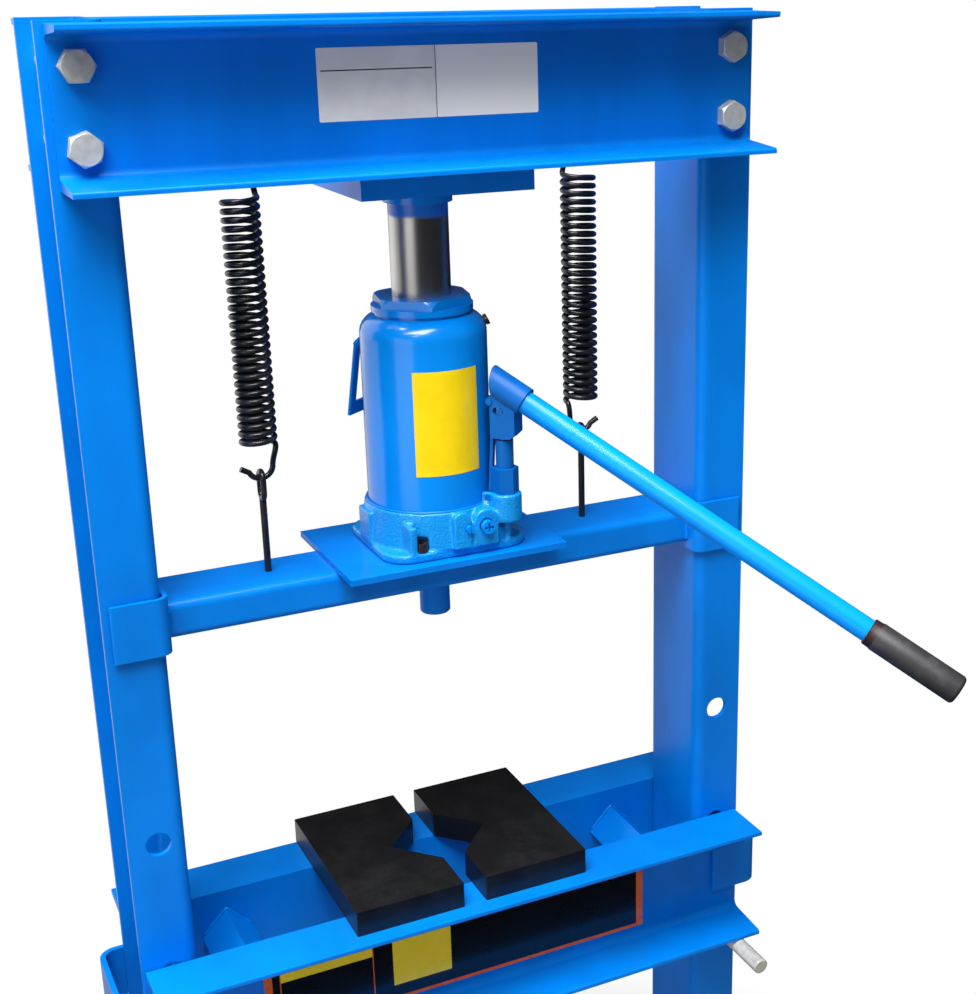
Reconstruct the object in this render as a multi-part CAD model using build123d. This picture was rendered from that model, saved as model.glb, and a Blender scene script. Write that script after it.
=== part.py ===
from build123d import *
import os
from math import atan2, cos, degrees, hypot, pi, radians, sin, sqrt

# Hydraulic shop press with an upright bottle jack on a sliding beam.
# All sizes are in millimetres. X runs along the crossbeam, -Y faces the user, +Z is up,
# and the origin is on the floor, midway between the feet.

# Overall frame
crossbeam_top = 1500.0
crossbeam_length = 600.0
post_above_crossbeam = 2.0

# Posts: formed channels with the web facing inwards and the open side outwards
post_depth = 96.0
post_flange = 50.0
post_wall = 5.0
post_bend = 10.0
post_beyond_crossbeam = 6.0

# Rolled channels with tapered flanges, used for the crossbeam and the bed
channel_height = 120.0
channel_flange = 54.0
channel_web = 5.0
channel_tip = 4.6
channel_root = 8.2
channel_root_fillet = 7.0
channel_tip_fillet = 2.2

# Fasteners
frame_bolt = 16.0
frame_bolt_across_flats = 24.0
frame_bolt_head = 10.0
frame_nut_height = 13.0
frame_bolt_length = 40.0
frame_bolt_spacing = 60.0
base_bolt = 12.0
base_bolt_across_flats = 18.0
base_bolt_head = 7.5
base_nut_height = 10.0
base_bolt_length = 30.0
washer_thickness = 2.5
washer_overhang = 2.0
bolt_clearance = 1.5
hole_line_inset = 26.0

# Pins and pin holes
pin_diameter = 16.0
pin_hole = 22.0
pin_length = 286.0
pin_chamfer = 1.5
pin_gap = 0.3
pin_seat_gap = 0.7
hole_pitch_upper = 129.0
hole_pitch_lower = 118.0
holes_below_pin = 2

# Head plate and ram seat
head_plate_size = 152.0
head_plate_thickness = 20.0
seat_ring_outer = 60.0
seat_ring_height = 13.0
seat_ring_clearance = 0.4

# Sliding press beam: rectangular hollow section
beam_below_crossbeam = 465.5
beam_width = 70.0
beam_height = 33.0
beam_wall = 4.0
beam_corner = 7.0
jack_plate_length = 205.0
jack_plate_width = 145.0
jack_plate_thickness = 5.5
stub_diameter = 28.0
stub_drop = 34.0

# Bent guides round the posts
guide_height = 50.0
guide_top_above_beam = 11.5
guide_thickness = 4.0
guide_bend = 9.0
guide_clearance = 1.0
guide_reach = 45.0

# Return springs
spring_centre = 154.0
spring_outer = 33.0
spring_wire = 5.0
coil_below_crossbeam = 140.0
coil_above_beam = 115.5
coil_turns = 29
spring_hook_drop = 30.0
spring_hook_radius = 11.0
spring_hook_flare = 9.0
spring_anchor_bar = 10.0
eye_rod = 6.0
eye_inner_width = 6.0
eye_height = 30.0
eye_rod_past_nut = 3.0
eye_nut_height = 6.0
eye_nut_across_flats = 12.0
hook_gap = 0.4

# Bottle jack
ram_diameter = 52.0
ram_below_gland = 110.5
piston_diameter = 60.0
piston_height = 16.0
ram_clearance = 0.05
piston_clearance = 0.2
cylinder_outer = 76.0
reservoir_outer = 112.0
reservoir_wall = 4.0
reservoir_shoulder = 18.0
reservoir_neck = 2.0
collar_diameter = 89.5
collar_height = 5.5
gland_across_flats = 79.5
gland_hex_height = 8.0
gland_hex_turn = 20.0
gland_top_above_plate = 226.5
cylinder_into_gland = 3.0
gland_thread_depth = 15.0
jack_floor_thickness = 6.0
base_length = 137.0
base_depth = 122.0
base_shift = 6.0
base_flange = 8.0
base_corner = 25.0
base_cup_diameter = 119.0
base_cup_height = 42.0
base_reservoir_seat = 35.0
cap_screw = 8.0
cap_screw_head = 13.0
cap_screw_head_height = 8.0
cap_screw_depth = 14.0
cap_screw_socket = 6.0
cap_screw_socket_depth = 4.5
ear_front = 66.0
ear_back = 40.0
valve_bore_end = 44.0
relief_bore_end = 50.0
filler_plug_diameter = 10.0
filler_plug_bearing = 20.0

# Hand pump and handle, laid out in a vertical plane through the ram's axis
handle_bearing = 48.0
handle_slope = 29.0
pump_distance = 75.4
pump_boss = 28.5
pump_boss_bottom = 26.0
pump_boss_top = 52.0
pump_body_across = 21.0
pump_body_height = 23.0
pump_barrel = 16.0
pump_barrel_height = 26.0
plunger = 10.0
plunger_clearance = 0.05
tongue_thickness = 9.0
tongue_rise = 27.0
cheek_gap = 0.5
cheek_thickness = 4.0
cheek_reach = 14.0
cheek_bevel = 5.0
link_across = 5.0
link_depth = 3.0
link_gap = 0.8
link_pin = 5.0
link_eye = 8.6
link_seat_across = 18.0
fulcrum_distance = 66.5
fulcrum_rise = 136.0
link_foot_distance = 61.0
link_foot_rise = 47.0
socket_outer = 26.0
socket_inner = 21.2
socket_start = 68.0
socket_mouth = 96.4
socket_mouth_rise = 136.4
handle_diameter = 20.5
handle_wall = 2.0
handle_length = 439.0
handle_inside = 20.0
grip_diameter = 26.0
grip_length = 90.0
grip_overhang = 6.0
grip_hole = 6.0
plunger_pin = 6.0
plunger_pin_slide = 2.9
pin_play = 0.45

# Release valve and carrying bail
valve_x = 27.0
valve_height = 26.5
valve_diameter = 12.0
valve_front = 72.0
relief_x = 10.5
relief_diameter = 7.0
bail_bearing = 233.2
bail_thickness = 2.5
bail_width = 36.0
bail_strip = 8.0
bail_crossbar = 12.0
bail_drop = 67.5
bail_tilt = 9.3
bail_pivot_rise = 178.5
bail_pivot_pin = 6.0
bail_pivot_play = 0.1
bail_lug = 17.0

# Bed
bed_bottom = 581.0
bed_length = 606.0
bed_running_gap = 1.0
strap_height = 50.0
strap_thickness = 5.0
strap_corner = 16.0
strap_clearance = 17.0
strap_lap = 34.0
strap_bottom_above_bed = 35.0
spacer_from_post = 48.0
spacer_leg = 35.0
spacer_thickness = 4.0
spacer_ridge_below_top = 20.0

# Arbor plates
arbor_length = 190.0
arbor_width = 105.0
arbor_thickness = 25.0
arbor_gap = 22.0
arbor_shift = 9.2
arbor_centre_x = -4.8
notch_depth = 37.5
notch_shift = -2.0
notch_opening = 84.0

# Base of the press
foot_length = 500.0
foot_width = 64.0
foot_height = 40.0
foot_wall = 5.0
foot_bend = 8.0
anchor_hole = 14.0
anchor_access = 30.0
anchor_inset = 25.0
brace_width = 40.0
brace_thickness = 6.0
brace_tab = 46.0
brace_top = 300.0
brace_foot_reach = 190.0
brace_bend = 9.0
lower_member_bottom = 80.0
lower_member_height = 100.0
lower_member_flange = 40.0
lower_member_wall = 5.0
lower_member_bend = 9.0

# Small gap between pieces that meet without being fastened
seat_gap = 0.3

# Places worked out from the sizes
post_outer_x = crossbeam_length / 2 + post_beyond_crossbeam
post_inner_x = post_outer_x - post_flange
post_face_y = post_depth / 2
post_bottom = foot_height
post_top = crossbeam_top + post_above_crossbeam
hole_line_x = post_outer_x - hole_line_inset
crossbeam_bottom = crossbeam_top - channel_height
crossbeam_middle = crossbeam_top - channel_height / 2
frame_bolt_levels = [crossbeam_middle - frame_bolt_spacing / 2, crossbeam_middle + frame_bolt_spacing / 2]
head_plate_bottom = crossbeam_bottom - head_plate_thickness
beam_top = crossbeam_top - beam_below_crossbeam
plate_top = beam_top + jack_plate_thickness
coil_top = crossbeam_top - coil_below_crossbeam
coil_bottom = beam_top + coil_above_beam
spacer_centre = post_inner_x - spacer_from_post
ram_top = head_plate_bottom - seat_gap
gland_top = plate_top + gland_top_above_plate
collar_bottom = gland_top - gland_hex_height - collar_height
bed_top = bed_bottom + channel_height
eye_nut_seat = beam_top - beam_wall
pin_level = bed_bottom - pin_diameter / 2 - pin_gap
pin_hole_level = pin_level + (pin_hole - pin_diameter) / 2 - pin_seat_gap
pin_hole_levels = [pin_hole_level - hole_pitch_lower * n for n in range(holes_below_pin, 0, -1)]
pin_hole_levels += [pin_hole_level, pin_hole_level + hole_pitch_lower]
pin_hole_levels += [pin_hole_level + hole_pitch_lower + hole_pitch_upper]
lower_bolt_levels = [lower_member_bottom + 25, lower_member_bottom + lower_member_height - 25]
brace_bolt_level = brace_top - brace_tab / 2
brace_foot_y = brace_foot_reach + brace_tab / 2


def block(x_range, y_range, z_range):
    """A box between two limits along each axis."""
    size = [high - low for low, high in (x_range, y_range, z_range)]
    middle = [(high + low) / 2 for low, high in (x_range, y_range, z_range)]
    return Pos(*middle) * Box(*size)


def upright(radius, bottom, top, x=0.0, y=0.0):
    """A vertical cylinder between two levels."""
    return Pos(x, y, (bottom + top) / 2) * Cylinder(radius, top - bottom)


def along_y(radius, start, end, x, z):
    """A cylinder parallel to Y between two Y values."""
    return Pos(x, (start + end) / 2, z) * Rot(90, 0, 0) * Cylinder(radius, abs(end - start))


def along_x(radius, start, end, y, z):
    """A cylinder parallel to X between two X values."""
    return Pos((start + end) / 2, y, z) * Rot(0, 90, 0) * Cylinder(radius, abs(end - start))


def hexagon(across_flats, height):
    """A hexagonal prism standing on the XY plane."""
    return extrude(RegularPolygon(across_flats / sqrt(3), 6), height)


def hex_head(across_flats, height):
    """A hexagonal bolt head with its outer corners turned off, standing on the XY plane."""
    corner = across_flats / sqrt(3)
    crown = Cone(corner + height, corner * 0.9, height, align=(Align.CENTER, Align.CENTER, Align.MIN))
    cap = Pos(0, 0, height - 0.42 * height) * Cone(
        corner * 1.12, across_flats / 2 - 0.4, 0.42 * height, align=(Align.CENTER, Align.CENTER, Align.MIN))
    shank = extrude(Circle(corner * 1.2), height * 0.58)
    return hexagon(across_flats, height) & crown & (cap + shank)


def mirrored_x(shape):
    """The same shape on the other side of the YZ plane."""
    return shape.mirror(Plane.YZ)


def mirrored_y(shape):
    """The same shape on the other side of the XZ plane."""
    return shape.mirror(Plane.XZ)


def one_solid(shape):
    """The single solid that a union left, as a plain solid."""
    solids = shape.solids()
    return solids[0] if len(solids) == 1 else Compound(children=list(solids))


def group(solids):
    """Separate solids that share one node."""
    found = []
    for item in solids:
        found += list(item.solids())
    return Compound(children=found)


# Rolled channel

def channel_section():
    """Half-open section in the XY plane: X is outwards from the web's back, Y is up from its bottom."""
    outline = Polyline(
        (0, 0), (channel_flange, 0), (channel_flange, channel_tip), (channel_web, channel_root),
        (channel_web, channel_height - channel_root), (channel_flange, channel_height - channel_tip),
        (channel_flange, channel_height), (0, channel_height), close=True)
    face = make_face(outline)
    roots = [v for v in face.vertices() if abs(v.X - channel_web) < 0.01]
    face = fillet(roots, channel_root_fillet)
    tips = [v for v in face.vertices() if abs(v.X - channel_flange) < 0.01 and 1 < v.Y < channel_height - 1]
    return fillet(tips, channel_tip_fillet)


def front_channel(length, bottom, back_y):
    """A channel along X whose web's back is at -back_y and whose flanges point to the front."""
    section_plane = Plane(origin=(-length / 2, -back_y, bottom), x_dir=(0, -1, 0), z_dir=(-1, 0, 0))
    section = section_plane * channel_section()
    return extrude(section, amount=-length)


def front_crossbeam():
    beam = front_channel(crossbeam_length, crossbeam_bottom, post_face_y)
    hole = frame_bolt / 2 + bolt_clearance / 2
    for side in (-1, 1):
        for level in frame_bolt_levels:
            beam -= along_y(hole, -post_face_y - channel_flange, -post_face_y + 1, side * hole_line_x, level)
    return beam


# Posts and their fasteners

def post_section():
    """Right-hand post in plan: web inwards, flanges outwards, rounded outer bends."""
    outer = Rectangle(post_flange, post_depth)
    outer = fillet(outer.vertices().group_by(Axis.X)[0], post_bend)
    inner = Pos(post_wall, 0) * Rectangle(post_flange, post_depth - 2 * post_wall)
    inner = fillet(inner.vertices().group_by(Axis.X)[0], post_bend - post_wall)
    return Pos(post_inner_x + post_flange / 2, 0) * (outer - inner)


def right_post():
    post = Pos(0, 0, post_bottom) * extrude(post_section(), post_top - post_bottom)
    through = post_face_y + 1
    for level in pin_hole_levels:
        post -= along_y(pin_hole / 2, -through, through, hole_line_x, level)
    for level in frame_bolt_levels:
        post -= along_y((frame_bolt + bolt_clearance) / 2, -through, through, hole_line_x, level)
    post -= along_y((base_bolt + bolt_clearance) / 2, -through, through, hole_line_x, brace_bolt_level)
    for level in lower_bolt_levels:
        post -= along_y((base_bolt + bolt_clearance) / 2, 0, through, hole_line_x, level)
    return post


def y_bolt(size, across_flats, head, length, face_y, x, z, turn=0.0):
    """A hex bolt along Y, its head on a face at -face_y and its shank running towards +Y."""
    seat = Pos(x, -face_y, z) * Rot(90, 0, 0)
    bolt = seat * (Rot(0, 0, turn) * hex_head(across_flats, head))
    shank = along_y(size / 2, -face_y, -face_y + length, x, z)
    return bolt + shank


def y_nut(size, across_flats, height, face_y, x, z, turn=0.0):
    """A plain nut on a shank along Y, its bearing face at face_y and its body towards +Y."""
    nut = Pos(x, face_y, z) * Rot(-90, 0, 0) * (Rot(0, 0, turn) * hexagon(across_flats, height))
    return nut - along_y(size / 2, face_y - 1, face_y + height + 1, x, z)


def y_washer(size, across_flats, face_y, x, z):
    """A flat washer whose near face is at face_y."""
    ring = along_y(across_flats / 2 + washer_overhang, face_y, face_y + washer_thickness, x, z)
    return ring - along_y(size / 2, face_y - 1, face_y + washer_thickness + 1, x, z)


def frame_fasteners(make):
    """The same fastener at the eight joints of crossbeams and posts."""
    pieces = []
    for side in (-1, 1):
        for level in frame_bolt_levels:
            piece = make(side * hole_line_x, level)
            pieces += [piece, mirrored_y(piece)]
    return group(pieces)


def crossbeam_bolts():
    head_face = post_face_y + channel_web
    turns = iter((20, 0, 30, 30, 20, 0, 30, 30))
    return frame_fasteners(lambda x, z: y_bolt(
        frame_bolt, frame_bolt_across_flats, frame_bolt_head, frame_bolt_length, head_face, x, z, next(turns)))


def crossbeam_washers():
    face = -post_face_y + post_wall
    return frame_fasteners(lambda x, z: y_washer(frame_bolt, frame_bolt_across_flats, face, x, z))


def crossbeam_nuts():
    face = -post_face_y + post_wall + washer_thickness
    return frame_fasteners(lambda x, z: y_nut(
        frame_bolt, frame_bolt_across_flats, frame_nut_height, face, x, z))


# Head plate and the ram's seat

def head_plate():
    return block([-head_plate_size / 2, head_plate_size / 2], [-head_plate_size / 2, head_plate_size / 2],
                 [head_plate_bottom, crossbeam_bottom])


def head_seat_ring():
    bore = ram_diameter / 2 + seat_ring_clearance
    bottom = head_plate_bottom - seat_ring_height
    ring = upright(seat_ring_outer / 2, bottom, head_plate_bottom)
    return ring - upright(bore, bottom - 1, head_plate_bottom + 1)


# Base of the press

def right_foot():
    """An upside-down formed channel along Y under the post, with a drilled floor pad at each end."""
    centre_x = post_inner_x + post_flange / 2
    outer = Rectangle(foot_width, foot_height)
    outer = fillet(outer.vertices().group_by(Axis.Y)[-1], foot_bend)
    inner = Pos(0, -foot_wall) * Rectangle(foot_width - 2 * foot_wall, foot_height)
    inner = fillet(inner.vertices().group_by(Axis.Y)[-1], foot_bend - foot_wall)
    section = Plane(origin=(centre_x, foot_length / 2, foot_height / 2), x_dir=(1, 0, 0), z_dir=(0, -1, 0))
    foot = extrude(section * (outer - inner), foot_length)
    for side in (-1, 1):
        anchor_y = side * (foot_length / 2 - anchor_inset)
        foot += block([centre_x - foot_width / 2, centre_x + foot_width / 2],
                      [anchor_y - anchor_inset, anchor_y + anchor_inset], [0, foot_wall])
        foot -= upright(anchor_hole / 2, -1, foot_wall + 1, centre_x, anchor_y)
        foot -= upright(anchor_access / 2, foot_height - foot_wall - 1, foot_height + 1, centre_x, anchor_y)
        foot -= upright((base_bolt + bolt_clearance) / 2, foot_height - foot_wall - 1, foot_height + 1,
                        centre_x, side * brace_foot_y)
    return foot


def bent_strip(points, thickness, bend):
    """Section of a bent flat bar: a centre line with rounded bends, given its thickness."""
    line = FilletPolyline(*points, radius=bend)
    return make_face(offset(line, amount=thickness / 2, kind=Kind.INTERSECTION, side=Side.BOTH))


def right_front_brace():
    """A flat bar bent at both ends: bolted on the post's front face and on the foot."""
    half = brace_thickness / 2
    up = post_face_y + half
    points = [(up, brace_top), (up, brace_top - brace_tab), (brace_foot_reach, foot_height + half),
              (brace_foot_reach + brace_tab, foot_height + half)]
    centre_x = post_inner_x + post_flange / 2
    plane = Plane(origin=(centre_x - brace_width / 2, 0, 0), x_dir=(0, -1, 0), z_dir=(-1, 0, 0))
    brace = extrude(plane * bent_strip(points, brace_thickness, brace_bend), amount=-brace_width)
    hole = (base_bolt + bolt_clearance) / 2
    brace -= along_y(hole, -post_face_y - brace_thickness - 1, -post_face_y + 1, hole_line_x, brace_bolt_level)
    brace -= upright(hole, foot_height - 1, foot_height + brace_thickness + 1, centre_x, -brace_foot_y)
    return brace


def lower_member():
    """A formed channel behind the posts that ties their lower ends."""
    outer = Rectangle(lower_member_flange, lower_member_height)
    outer = fillet(outer.vertices().group_by(Axis.X)[0], lower_member_bend)
    inner = Pos(lower_member_wall, 0) * Rectangle(lower_member_flange, lower_member_height - 2 * lower_member_wall)
    inner = fillet(inner.vertices().group_by(Axis.X)[0], lower_member_bend - lower_member_wall)
    middle = lower_member_bottom + lower_member_height / 2
    plane = Plane(origin=(-crossbeam_length / 2, post_face_y + lower_member_flange / 2, middle),
                  x_dir=(0, 1, 0), z_dir=(1, 0, 0))
    member = extrude(plane * (outer - inner), crossbeam_length)
    hole = (base_bolt + bolt_clearance) / 2
    for side in (-1, 1):
        for level in lower_bolt_levels:
            member -= along_y(hole, post_face_y - 1, post_face_y + lower_member_flange, side * hole_line_x, level)
    return member


def base_fastener_sites():
    """Where the base bolts go: a placing function for each, and the stack that it clamps."""
    centre_x = post_inner_x + post_flange / 2
    sites = []
    for side in (-1, 1):
        for face in (0, 180):
            on_post = Rot(0, 0, face) * Pos(side * hole_line_x, -post_face_y - brace_thickness, brace_bolt_level)
            sites.append((on_post * Rot(90, 0, 0), brace_thickness + post_wall))
            on_foot = Pos(side * centre_x, (1 if face else -1) * brace_foot_y, foot_height + brace_thickness)
            sites.append((on_foot, brace_thickness + foot_wall))
        for level in lower_bolt_levels:
            on_member = Pos(side * hole_line_x, post_face_y + lower_member_wall, level) * Rot(-90, 0, 0)
            sites.append((on_member, lower_member_wall + post_wall))
    return sites


def base_bolts():
    pieces = []
    for place, grip in base_fastener_sites():
        shank = Pos(0, 0, -base_bolt_length / 2) * Cylinder(base_bolt / 2, base_bolt_length)
        pieces.append(place * (hex_head(base_bolt_across_flats, base_bolt_head) + shank))
    return group(pieces)


def base_nuts():
    pieces = []
    for place, grip in base_fastener_sites():
        nut = Pos(0, 0, -grip - base_nut_height) * hexagon(base_bolt_across_flats, base_nut_height)
        pieces.append(place * (nut - Pos(0, 0, -grip) * Cylinder(base_bolt / 2, 3 * base_nut_height)))
    return group(pieces)


# Springs and what they hang on

hook_wire_bottom = coil_bottom - spring_hook_drop
hook_wire_top = coil_top + spring_hook_drop
anchor_level = hook_wire_top - spring_wire / 2 - spring_anchor_bar / 2 - hook_gap


def spring(side):
    """One extension spring: a helical coil whose last turns run out into open hooks."""
    radius = (spring_outer - spring_wire) / 2
    length = coil_top - coil_bottom
    coil = Pos(0, 0, -length / 2) * Helix(length / coil_turns, length, radius)
    low_end = Pos(0, 0, -length / 2) * spring_hook()
    high_end = Pos(0, 0, length / 2) * spring_hook().mirror(Plane.XY).mirror(Plane.XZ)
    low_join = Spline(low_end @ 1, coil @ 0, tangents=[low_end % 1, coil % 0])
    high_join = Spline(coil @ 1, high_end @ 1, tangents=[coil % 1, -(high_end % 1)])
    path = Wire([edge for part in (low_end, low_join, coil, high_join, high_end) for edge in part.edges()])
    section = Plane(origin=path @ 0, z_dir=path % 0) * RegularPolygon(spring_wire / 2 * 1.05, 6)
    body = sweep(section, path=path, is_frenet=True)
    body = Pos(-spring_centre, 0, (coil_top + coil_bottom) / 2) * body
    return body if side < 0 else mirrored_x(body)


def spring_hook():
    """Centre line of the lower hook below the coil's end: a flared tip and most of a ring."""
    middle = -spring_hook_drop + spring_hook_radius
    ring = CenterArc((0, 0), spring_hook_radius, 205, 155)
    tip = ring @ 0
    flare = Line(tip + Vector(-spring_hook_flare * 0.8, spring_hook_flare * 0.45), tip)
    return Plane(origin=(0, 0, middle), x_dir=(1, 0, 0), z_dir=(0, -1, 0)) * (Curve() + [flare, ring])


def left_spring_anchor():
    """A round bar welded between the two crossbeam webs, which the spring's top hook goes over."""
    return along_y(spring_anchor_bar / 2, -post_face_y, post_face_y, -spring_centre, anchor_level)


def left_eye_rod():
    """A rod with a long narrow eye at its top, screwed into a nut under the beam's top wall."""
    wire = eye_rod / 2
    eye_top = hook_wire_bottom + spring_wire / 2 + hook_gap + 2 * wire
    centre_distance = eye_inner_width + 2 * wire
    straight = eye_height - centre_distance - 2 * wire
    low_centre = eye_top - wire - centre_distance / 2 - straight
    loop = SlotCenterToCenter(straight, centre_distance, rotation=90).wire()
    loop = Plane(origin=(0, 0, low_centre + straight / 2), x_dir=(0, 1, 0), z_dir=(1, 0, 0)) * loop
    section = Plane(origin=loop @ 0, z_dir=loop % 0) * Circle(wire * 0.85)
    eye = sweep(section, path=loop, is_frenet=True)
    foot = low_centre - centre_distance / 2
    shaft = upright(wire, eye_nut_seat - eye_nut_height - eye_rod_past_nut, foot)
    return Pos(-spring_centre, 0, 0) * (eye + shaft)


def eye_rod_nuts():
    bottom = eye_nut_seat - eye_nut_height
    pieces = []
    for side in (-1, 1):
        nut = Pos(side * spring_centre, 0, bottom) * hexagon(eye_nut_across_flats, eye_nut_height)
        pieces.append(nut - upright(eye_rod / 2, bottom - 1, eye_nut_seat + 1, side * spring_centre))
    return group(pieces)


# Sliding beam

guide_inner_x = post_inner_x - guide_clearance
beam_end_x = guide_inner_x - guide_thickness


def press_beam():
    outer = Rectangle(beam_width, beam_height)
    outer = fillet(outer.vertices(), beam_corner)
    inner = Rectangle(beam_width - 2 * beam_wall, beam_height - 2 * beam_wall)
    inner = fillet(inner.vertices(), beam_corner - beam_wall)
    plane = Plane(origin=(-beam_end_x, 0, beam_top - beam_height / 2), x_dir=(0, 1, 0), z_dir=(1, 0, 0))
    beam = extrude(plane * (outer - inner), 2 * beam_end_x)
    for side in (-1, 1):
        beam -= upright(eye_rod / 2, eye_nut_seat - 1, beam_top + 1, side * spring_centre)
    return beam


def right_guide():
    """A bent strip round the post: flat against its web, with a tab on its front and back faces."""
    half = guide_thickness / 2
    side_y = post_face_y + guide_clearance + half
    web_x = guide_inner_x - half
    points = [(web_x + guide_reach, -side_y), (web_x, -side_y), (web_x, side_y), (web_x + guide_reach, side_y)]
    top = beam_top + guide_top_above_beam
    strip = bent_strip(points, guide_thickness, guide_bend)
    return Pos(0, 0, top - guide_height) * extrude(strip, guide_height)


def jack_plate():
    plate = block([-jack_plate_length / 2, jack_plate_length / 2],
                  [-jack_plate_width / 2, jack_plate_width / 2], [beam_top, plate_top])
    for x, y in cap_screw_places():
        plate -= upright(cap_screw / 2, beam_top - 1, plate_top + 1, x, y)
    return plate


def press_stub():
    bottom = beam_top - beam_height - stub_drop
    stub = upright(stub_diameter / 2, bottom, beam_top - beam_height)
    return chamfer(stub.edges().group_by(Axis.Z)[0], 1.0)


# Jack base casting

cup_radius = base_cup_diameter / 2
flange_top = plate_top + base_flange
cup_top = plate_top + base_cup_height
seat_floor = plate_top + base_reservoir_seat
cylinder_floor = seat_floor + jack_floor_thickness


def cap_screw_places():
    """Corners of the jack's foot that hold a screw; the pump takes the fourth."""
    near, wide, deep = 31.0, 40.0, 53.0
    return [(-near, -deep), (-near, deep), (wide, deep)]


def in_pump_plane(shape):
    """Turn a shape from the XZ plane into the handle's vertical plane, above the jack plate."""
    return Rot(0, 0, -handle_bearing) * Pos(0, 0, plate_top) * shape


def jack_base():
    foot = RectangleRounded(base_length, base_depth, base_corner)
    base = Pos(base_shift, 0, plate_top) * extrude(foot, base_flange)
    cup = Pos(0, 0, flange_top) * Cone(cup_radius + 3, cup_radius, cup_top - flange_top,
                                        align=(Align.CENTER, Align.CENTER, Align.MIN))
    base += cup
    # Front rib and side lug of the casting
    base += block([-43, -36], [-60, -40], [flange_top, plate_top + 33])
    base += block([-64, -44], [-13, 15], [flange_top, plate_top + 37])
    # Ears that hold the release valve and the relief screw
    for x, width in ((relief_x - 6, 17), (valve_x, 23)):
        ear_top = plate_top + 42 - width / 2
        base += block([x - width / 2, x + width / 2], [-ear_front, -ear_back], [flange_top, ear_top])
        base += along_y(width / 2, -ear_front, -ear_back, x, ear_top)
    # Boss for the pump, its bridge to the cup and the web below it
    boss = upright(pump_boss / 2, pump_boss_bottom, pump_boss_top, pump_distance)
    seat_half = link_seat_across / 2
    boss += block([cup_radius - 8, pump_distance], [-seat_half, seat_half], [pump_boss_bottom, pump_boss_top])
    boss += block([cup_radius - 8, pump_distance + 4], [-2.5, 2.5], [base_flange, pump_boss_bottom])
    base += in_pump_plane(boss)
    # Room for the reservoir, the link's foot, the plunger and the screws
    base -= upright(reservoir_outer / 2 + 0.1, seat_floor, cup_top + 80)
    base -= in_pump_plane(upright(plunger / 2 + 1, pump_boss_top - 16, pump_boss_top + 1, pump_distance))
    room_half = link_across / 2 + link_gap
    room = block([link_foot_distance - 8, link_foot_distance + 6], [-room_half, room_half],
                 [link_foot_rise - link_eye / 2 - 1, pump_boss_top + 1])
    base -= in_pump_plane(room + across_pin(link_pin / 2, seat_half + 1, link_foot_distance, link_foot_rise))
    for x, y in cap_screw_places():
        base -= upright(cap_screw_head / 2 + 0.5, flange_top, cup_top + 1, x, y)
        base -= upright(cap_screw / 2, plate_top - 1, cup_top, x, y)
    base -= along_y(valve_diameter / 2 + 0.05, -ear_front - 1, -valve_bore_end, valve_x, plate_top + valve_height)
    base -= along_y(relief_diameter / 2, -ear_front - 1, -relief_bore_end, relief_x, plate_top + valve_height)
    return one_solid(base)


def jack_base_screws():
    pieces = []
    for x, y in cap_screw_places():
        screw = upright(cap_screw_head / 2, flange_top, flange_top + cap_screw_head_height, x, y)
        screw += upright(cap_screw / 2, flange_top - cap_screw_depth, flange_top, x, y)
        socket = Pos(x, y, flange_top + cap_screw_head_height - cap_screw_socket_depth) * hexagon(cap_screw_socket, cap_screw_socket)
        pieces.append(screw - socket)
    return group(pieces)


# Jack body

def reservoir():
    """Drawn shell with a round shoulder and a short neck under the gland's collar."""
    shell = reservoir_solid(0.0) - reservoir_solid(reservoir_wall)
    shell -= upright(cylinder_outer / 2 + 0.05, seat_floor - 1, collar_bottom + 1)
    plug = filler_place(Cylinder(filler_plug_diameter / 2 - 1, 30))
    return one_solid(shell - plug)


def reservoir_solid(inset):
    """The shell's outer form, or with an inset the room inside it."""
    centre = (reservoir_outer / 2 - reservoir_shoulder, collar_bottom - reservoir_neck - reservoir_shoulder)
    radius = reservoir_shoulder - inset
    arc = CenterArc(centre, radius, 0, 75)
    neck = arc @ 1
    top = collar_bottom - inset
    profile = Polyline((0, seat_floor), (centre[0] + radius, seat_floor), (centre[0] + radius, centre[1]))
    profile += [arc, Polyline(neck, (neck.X, top), (0, top), (0, seat_floor))]
    return revolve(Plane.XZ * make_face(profile), Axis.Z)


def bail_lugs():
    """Block welded on the shell, bored for the two pins of the bail."""
    lug = block([-9, 0], [-bail_lug / 2, bail_lug / 2], [-5, 5])
    lug += along_y(5, -bail_lug / 2, bail_lug / 2, 0, 0)
    lug -= along_y(bail_pivot_pin / 2 + bail_pivot_play, -bail_lug, bail_lug, 0, 0)
    return one_solid(bail_place(lug) - upright(reservoir_outer / 2, seat_floor, collar_bottom))


def jack_cylinder():
    top = collar_bottom + cylinder_into_gland
    tube = upright(cylinder_outer / 2, seat_floor, top)
    bore = piston_diameter / 2 + piston_clearance
    return tube - upright(bore, cylinder_floor, top + 1)


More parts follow.
